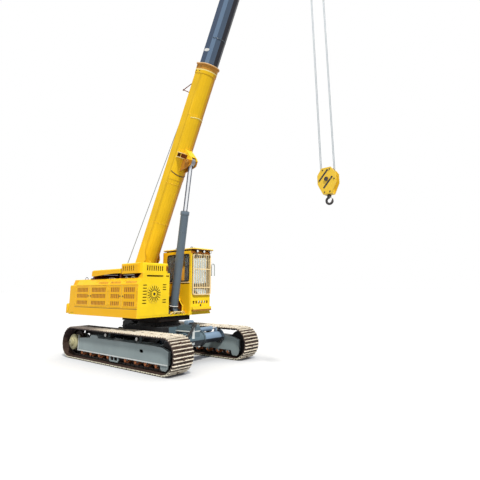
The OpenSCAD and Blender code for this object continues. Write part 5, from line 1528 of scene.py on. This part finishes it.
BLOCK = Vector((HEAD.x, 0, BLOCK_Z))
for side_name, side in SIDES:
    centre = BLOCK + Vector((0, side * 0.110, 0.040))
    boss = dished(centre, centre + Vector((0, side * 0.014, 0)), 0.052, 28, 0.004, 0.014, -0.003)
    corners = ((-0.09, 0.27), (0.09, 0.27), (-0.07, -0.27), (0.07, -0.27), (-0.19, 0.02), (0.19, 0.02))
    corner_bolts = bolts(
        [BLOCK + Vector((x, side * 0.096, z)) for x, z in corners], (0, side, 0), 0.013, 0.012,
    )
    dress(f"block_boss_{side_name}", [boss] + corner_bolts, dark_steel, "block")
HOOK_CENTRE = Vector((HEAD.x, 0, BLOCK_Z - 0.325 - 0.146))
latch_places = ((0.020, 0, 0.082), (0.040, 0, 0.075), (0.070, 0, 0.048))
latch_bar = pipe([HOOK_CENTRE + Vector(place) for place in latch_places], 0.007)
pin_ends = [HOOK_CENTRE + Vector((0.018, y, 0.084)) for y in (-0.034, 0.034)]
latch_pin = bar(*pin_ends, 0.008, 14, 0.002)
dress("hook_latch", [latch_bar, latch_pin], bare_steel, "swivel_hook")

# Floor, light and camera

deselect()
bpy.ops.mesh.primitive_plane_add(size=400, location=(0, 0, 0))
floor = bpy.context.object
floor.name = "floor"
floor_paint, floor_tree, floor_shader = new_material("floor_pale")
floor_shader.inputs["Roughness"].default_value = 0.9


def seen_ray(tree):
    """White for rays that show a background: straight ones, mirrored ones and ones through glass."""
    path = node(tree, "ShaderNodeLightPath")
    straight = maths(tree, "MAXIMUM", path.outputs["Is Camera Ray"], path.outputs["Is Glossy Ray"])
    return maths(tree, "MAXIMUM", straight, path.outputs["Is Transmission Ray"])


floor_seen = seen_ray(floor_tree)
floor_tree.links.new(
    mix(floor_tree, floor_seen, (0.36, 0.36, 0.36), (0.86, 0.86, 0.86)), floor_shader.inputs["Base Color"],
)
white = node(floor_tree, "ShaderNodeEmission", Strength=1.0)
# the floor's glow darkens under and near the machine: painted shadow
painted_shadow_tones = [(0.10, (0.015, 0.015, 0.02)), (0.45, (0.30, 0.33, 0.40)), (0.90, (1, 1, 1))]
floor_tree.links.new(ramp(floor_tree, cavity(floor_tree, 2.0), painted_shadow_tones), white.inputs["Color"])
floor_mix = node(floor_tree, "ShaderNodeMixShader")
floor_tree.links.new(maths(floor_tree, "MULTIPLY", floor_seen, 0.45), floor_mix.inputs[0])
floor_tree.links.new(floor_shader.outputs[0], floor_mix.inputs[1])
floor_tree.links.new(white.outputs[0], floor_mix.inputs[2])
floor_tree.links.new(floor_mix.outputs[0], floor_tree.nodes["Material Output"].inputs["Surface"])
floor.data.materials.append(floor_paint)

world = bpy.data.worlds.new("pale_sky")
scene.world = world
world.use_nodes = True
sky_tree = world.node_tree
sky = sky_tree.nodes["Background"]
sky.inputs["Color"].default_value = (0.95, 0.97, 1.0, 1)
sky.inputs["Strength"].default_value = 0.50
backdrop = node(sky_tree, "ShaderNodeBackground", Color=(1, 1, 1, 1), Strength=1.0)
sky_mix = node(sky_tree, "ShaderNodeMixShader")
sky_tree.links.new(seen_ray(sky_tree), sky_mix.inputs[0])
sky_tree.links.new(sky.outputs[0], sky_mix.inputs[1])
sky_tree.links.new(backdrop.outputs[0], sky_mix.inputs[2])
sky_tree.links.new(sky_mix.outputs[0], sky_tree.nodes["World Output"].inputs["Surface"])


def sun(name, azimuth, elevation, strength, angle, colour=(1, 1, 1)):
    lamp = bpy.data.lights.new(name, "SUN")
    lamp.energy = strength
    lamp.angle = math.radians(angle)
    lamp.color = colour
    made = bpy.data.objects.new(name, lamp)
    a, e = math.radians(azimuth), math.radians(elevation)
    toward = Vector((math.cos(a) * math.cos(e), math.sin(a) * math.cos(e), math.sin(e)))
    made.rotation_mode = "QUATERNION"
    made.rotation_quaternion = toward.to_track_quat("Z", "Y")
    scene.collection.objects.link(made)


sun("key_light", azimuth=-30, elevation=52, strength=3.5, angle=6, colour=(1.0, 0.98, 0.93))
sun("fill_light", azimuth=-110, elevation=20, strength=0.25, angle=40)

# the camera as fitted, its focal length and shift in the picture's pixels
PICTURE, FOCAL, SHIFT = 480, 377.6, 35
SENSOR = 36.0
CAMERA_AT = on_machine(9.87, -8.077, 2.095)
lens = bpy.data.cameras.new("main_camera")
lens.sensor_width = SENSOR
lens.lens = FOCAL * SENSOR / PICTURE
lens.shift_y = -SHIFT / PICTURE
lens.clip_end = 500
camera = bpy.data.objects.new("main_camera", lens)
yaw, pitch, roll = math.radians(128.87), math.radians(12.35), math.radians(-0.49)
forward = Vector((math.cos(yaw) * math.cos(pitch), math.sin(yaw) * math.cos(pitch), math.sin(pitch)))
right = Vector((math.sin(yaw), -math.cos(yaw), 0))
up = right.cross(forward)
tilted_right = right * math.cos(roll) + up * math.sin(roll)
tilted_up = up * math.cos(roll) - right * math.sin(roll)
columns = [(*tilted_right, 0), (*tilted_up, 0), (*-forward, 0), (*CAMERA_AT, 1)]
camera.matrix_world = Matrix(columns).transposed()
scene.collection.objects.link(camera)
scene.camera = camera

scene.view_settings.view_transform = "Standard"
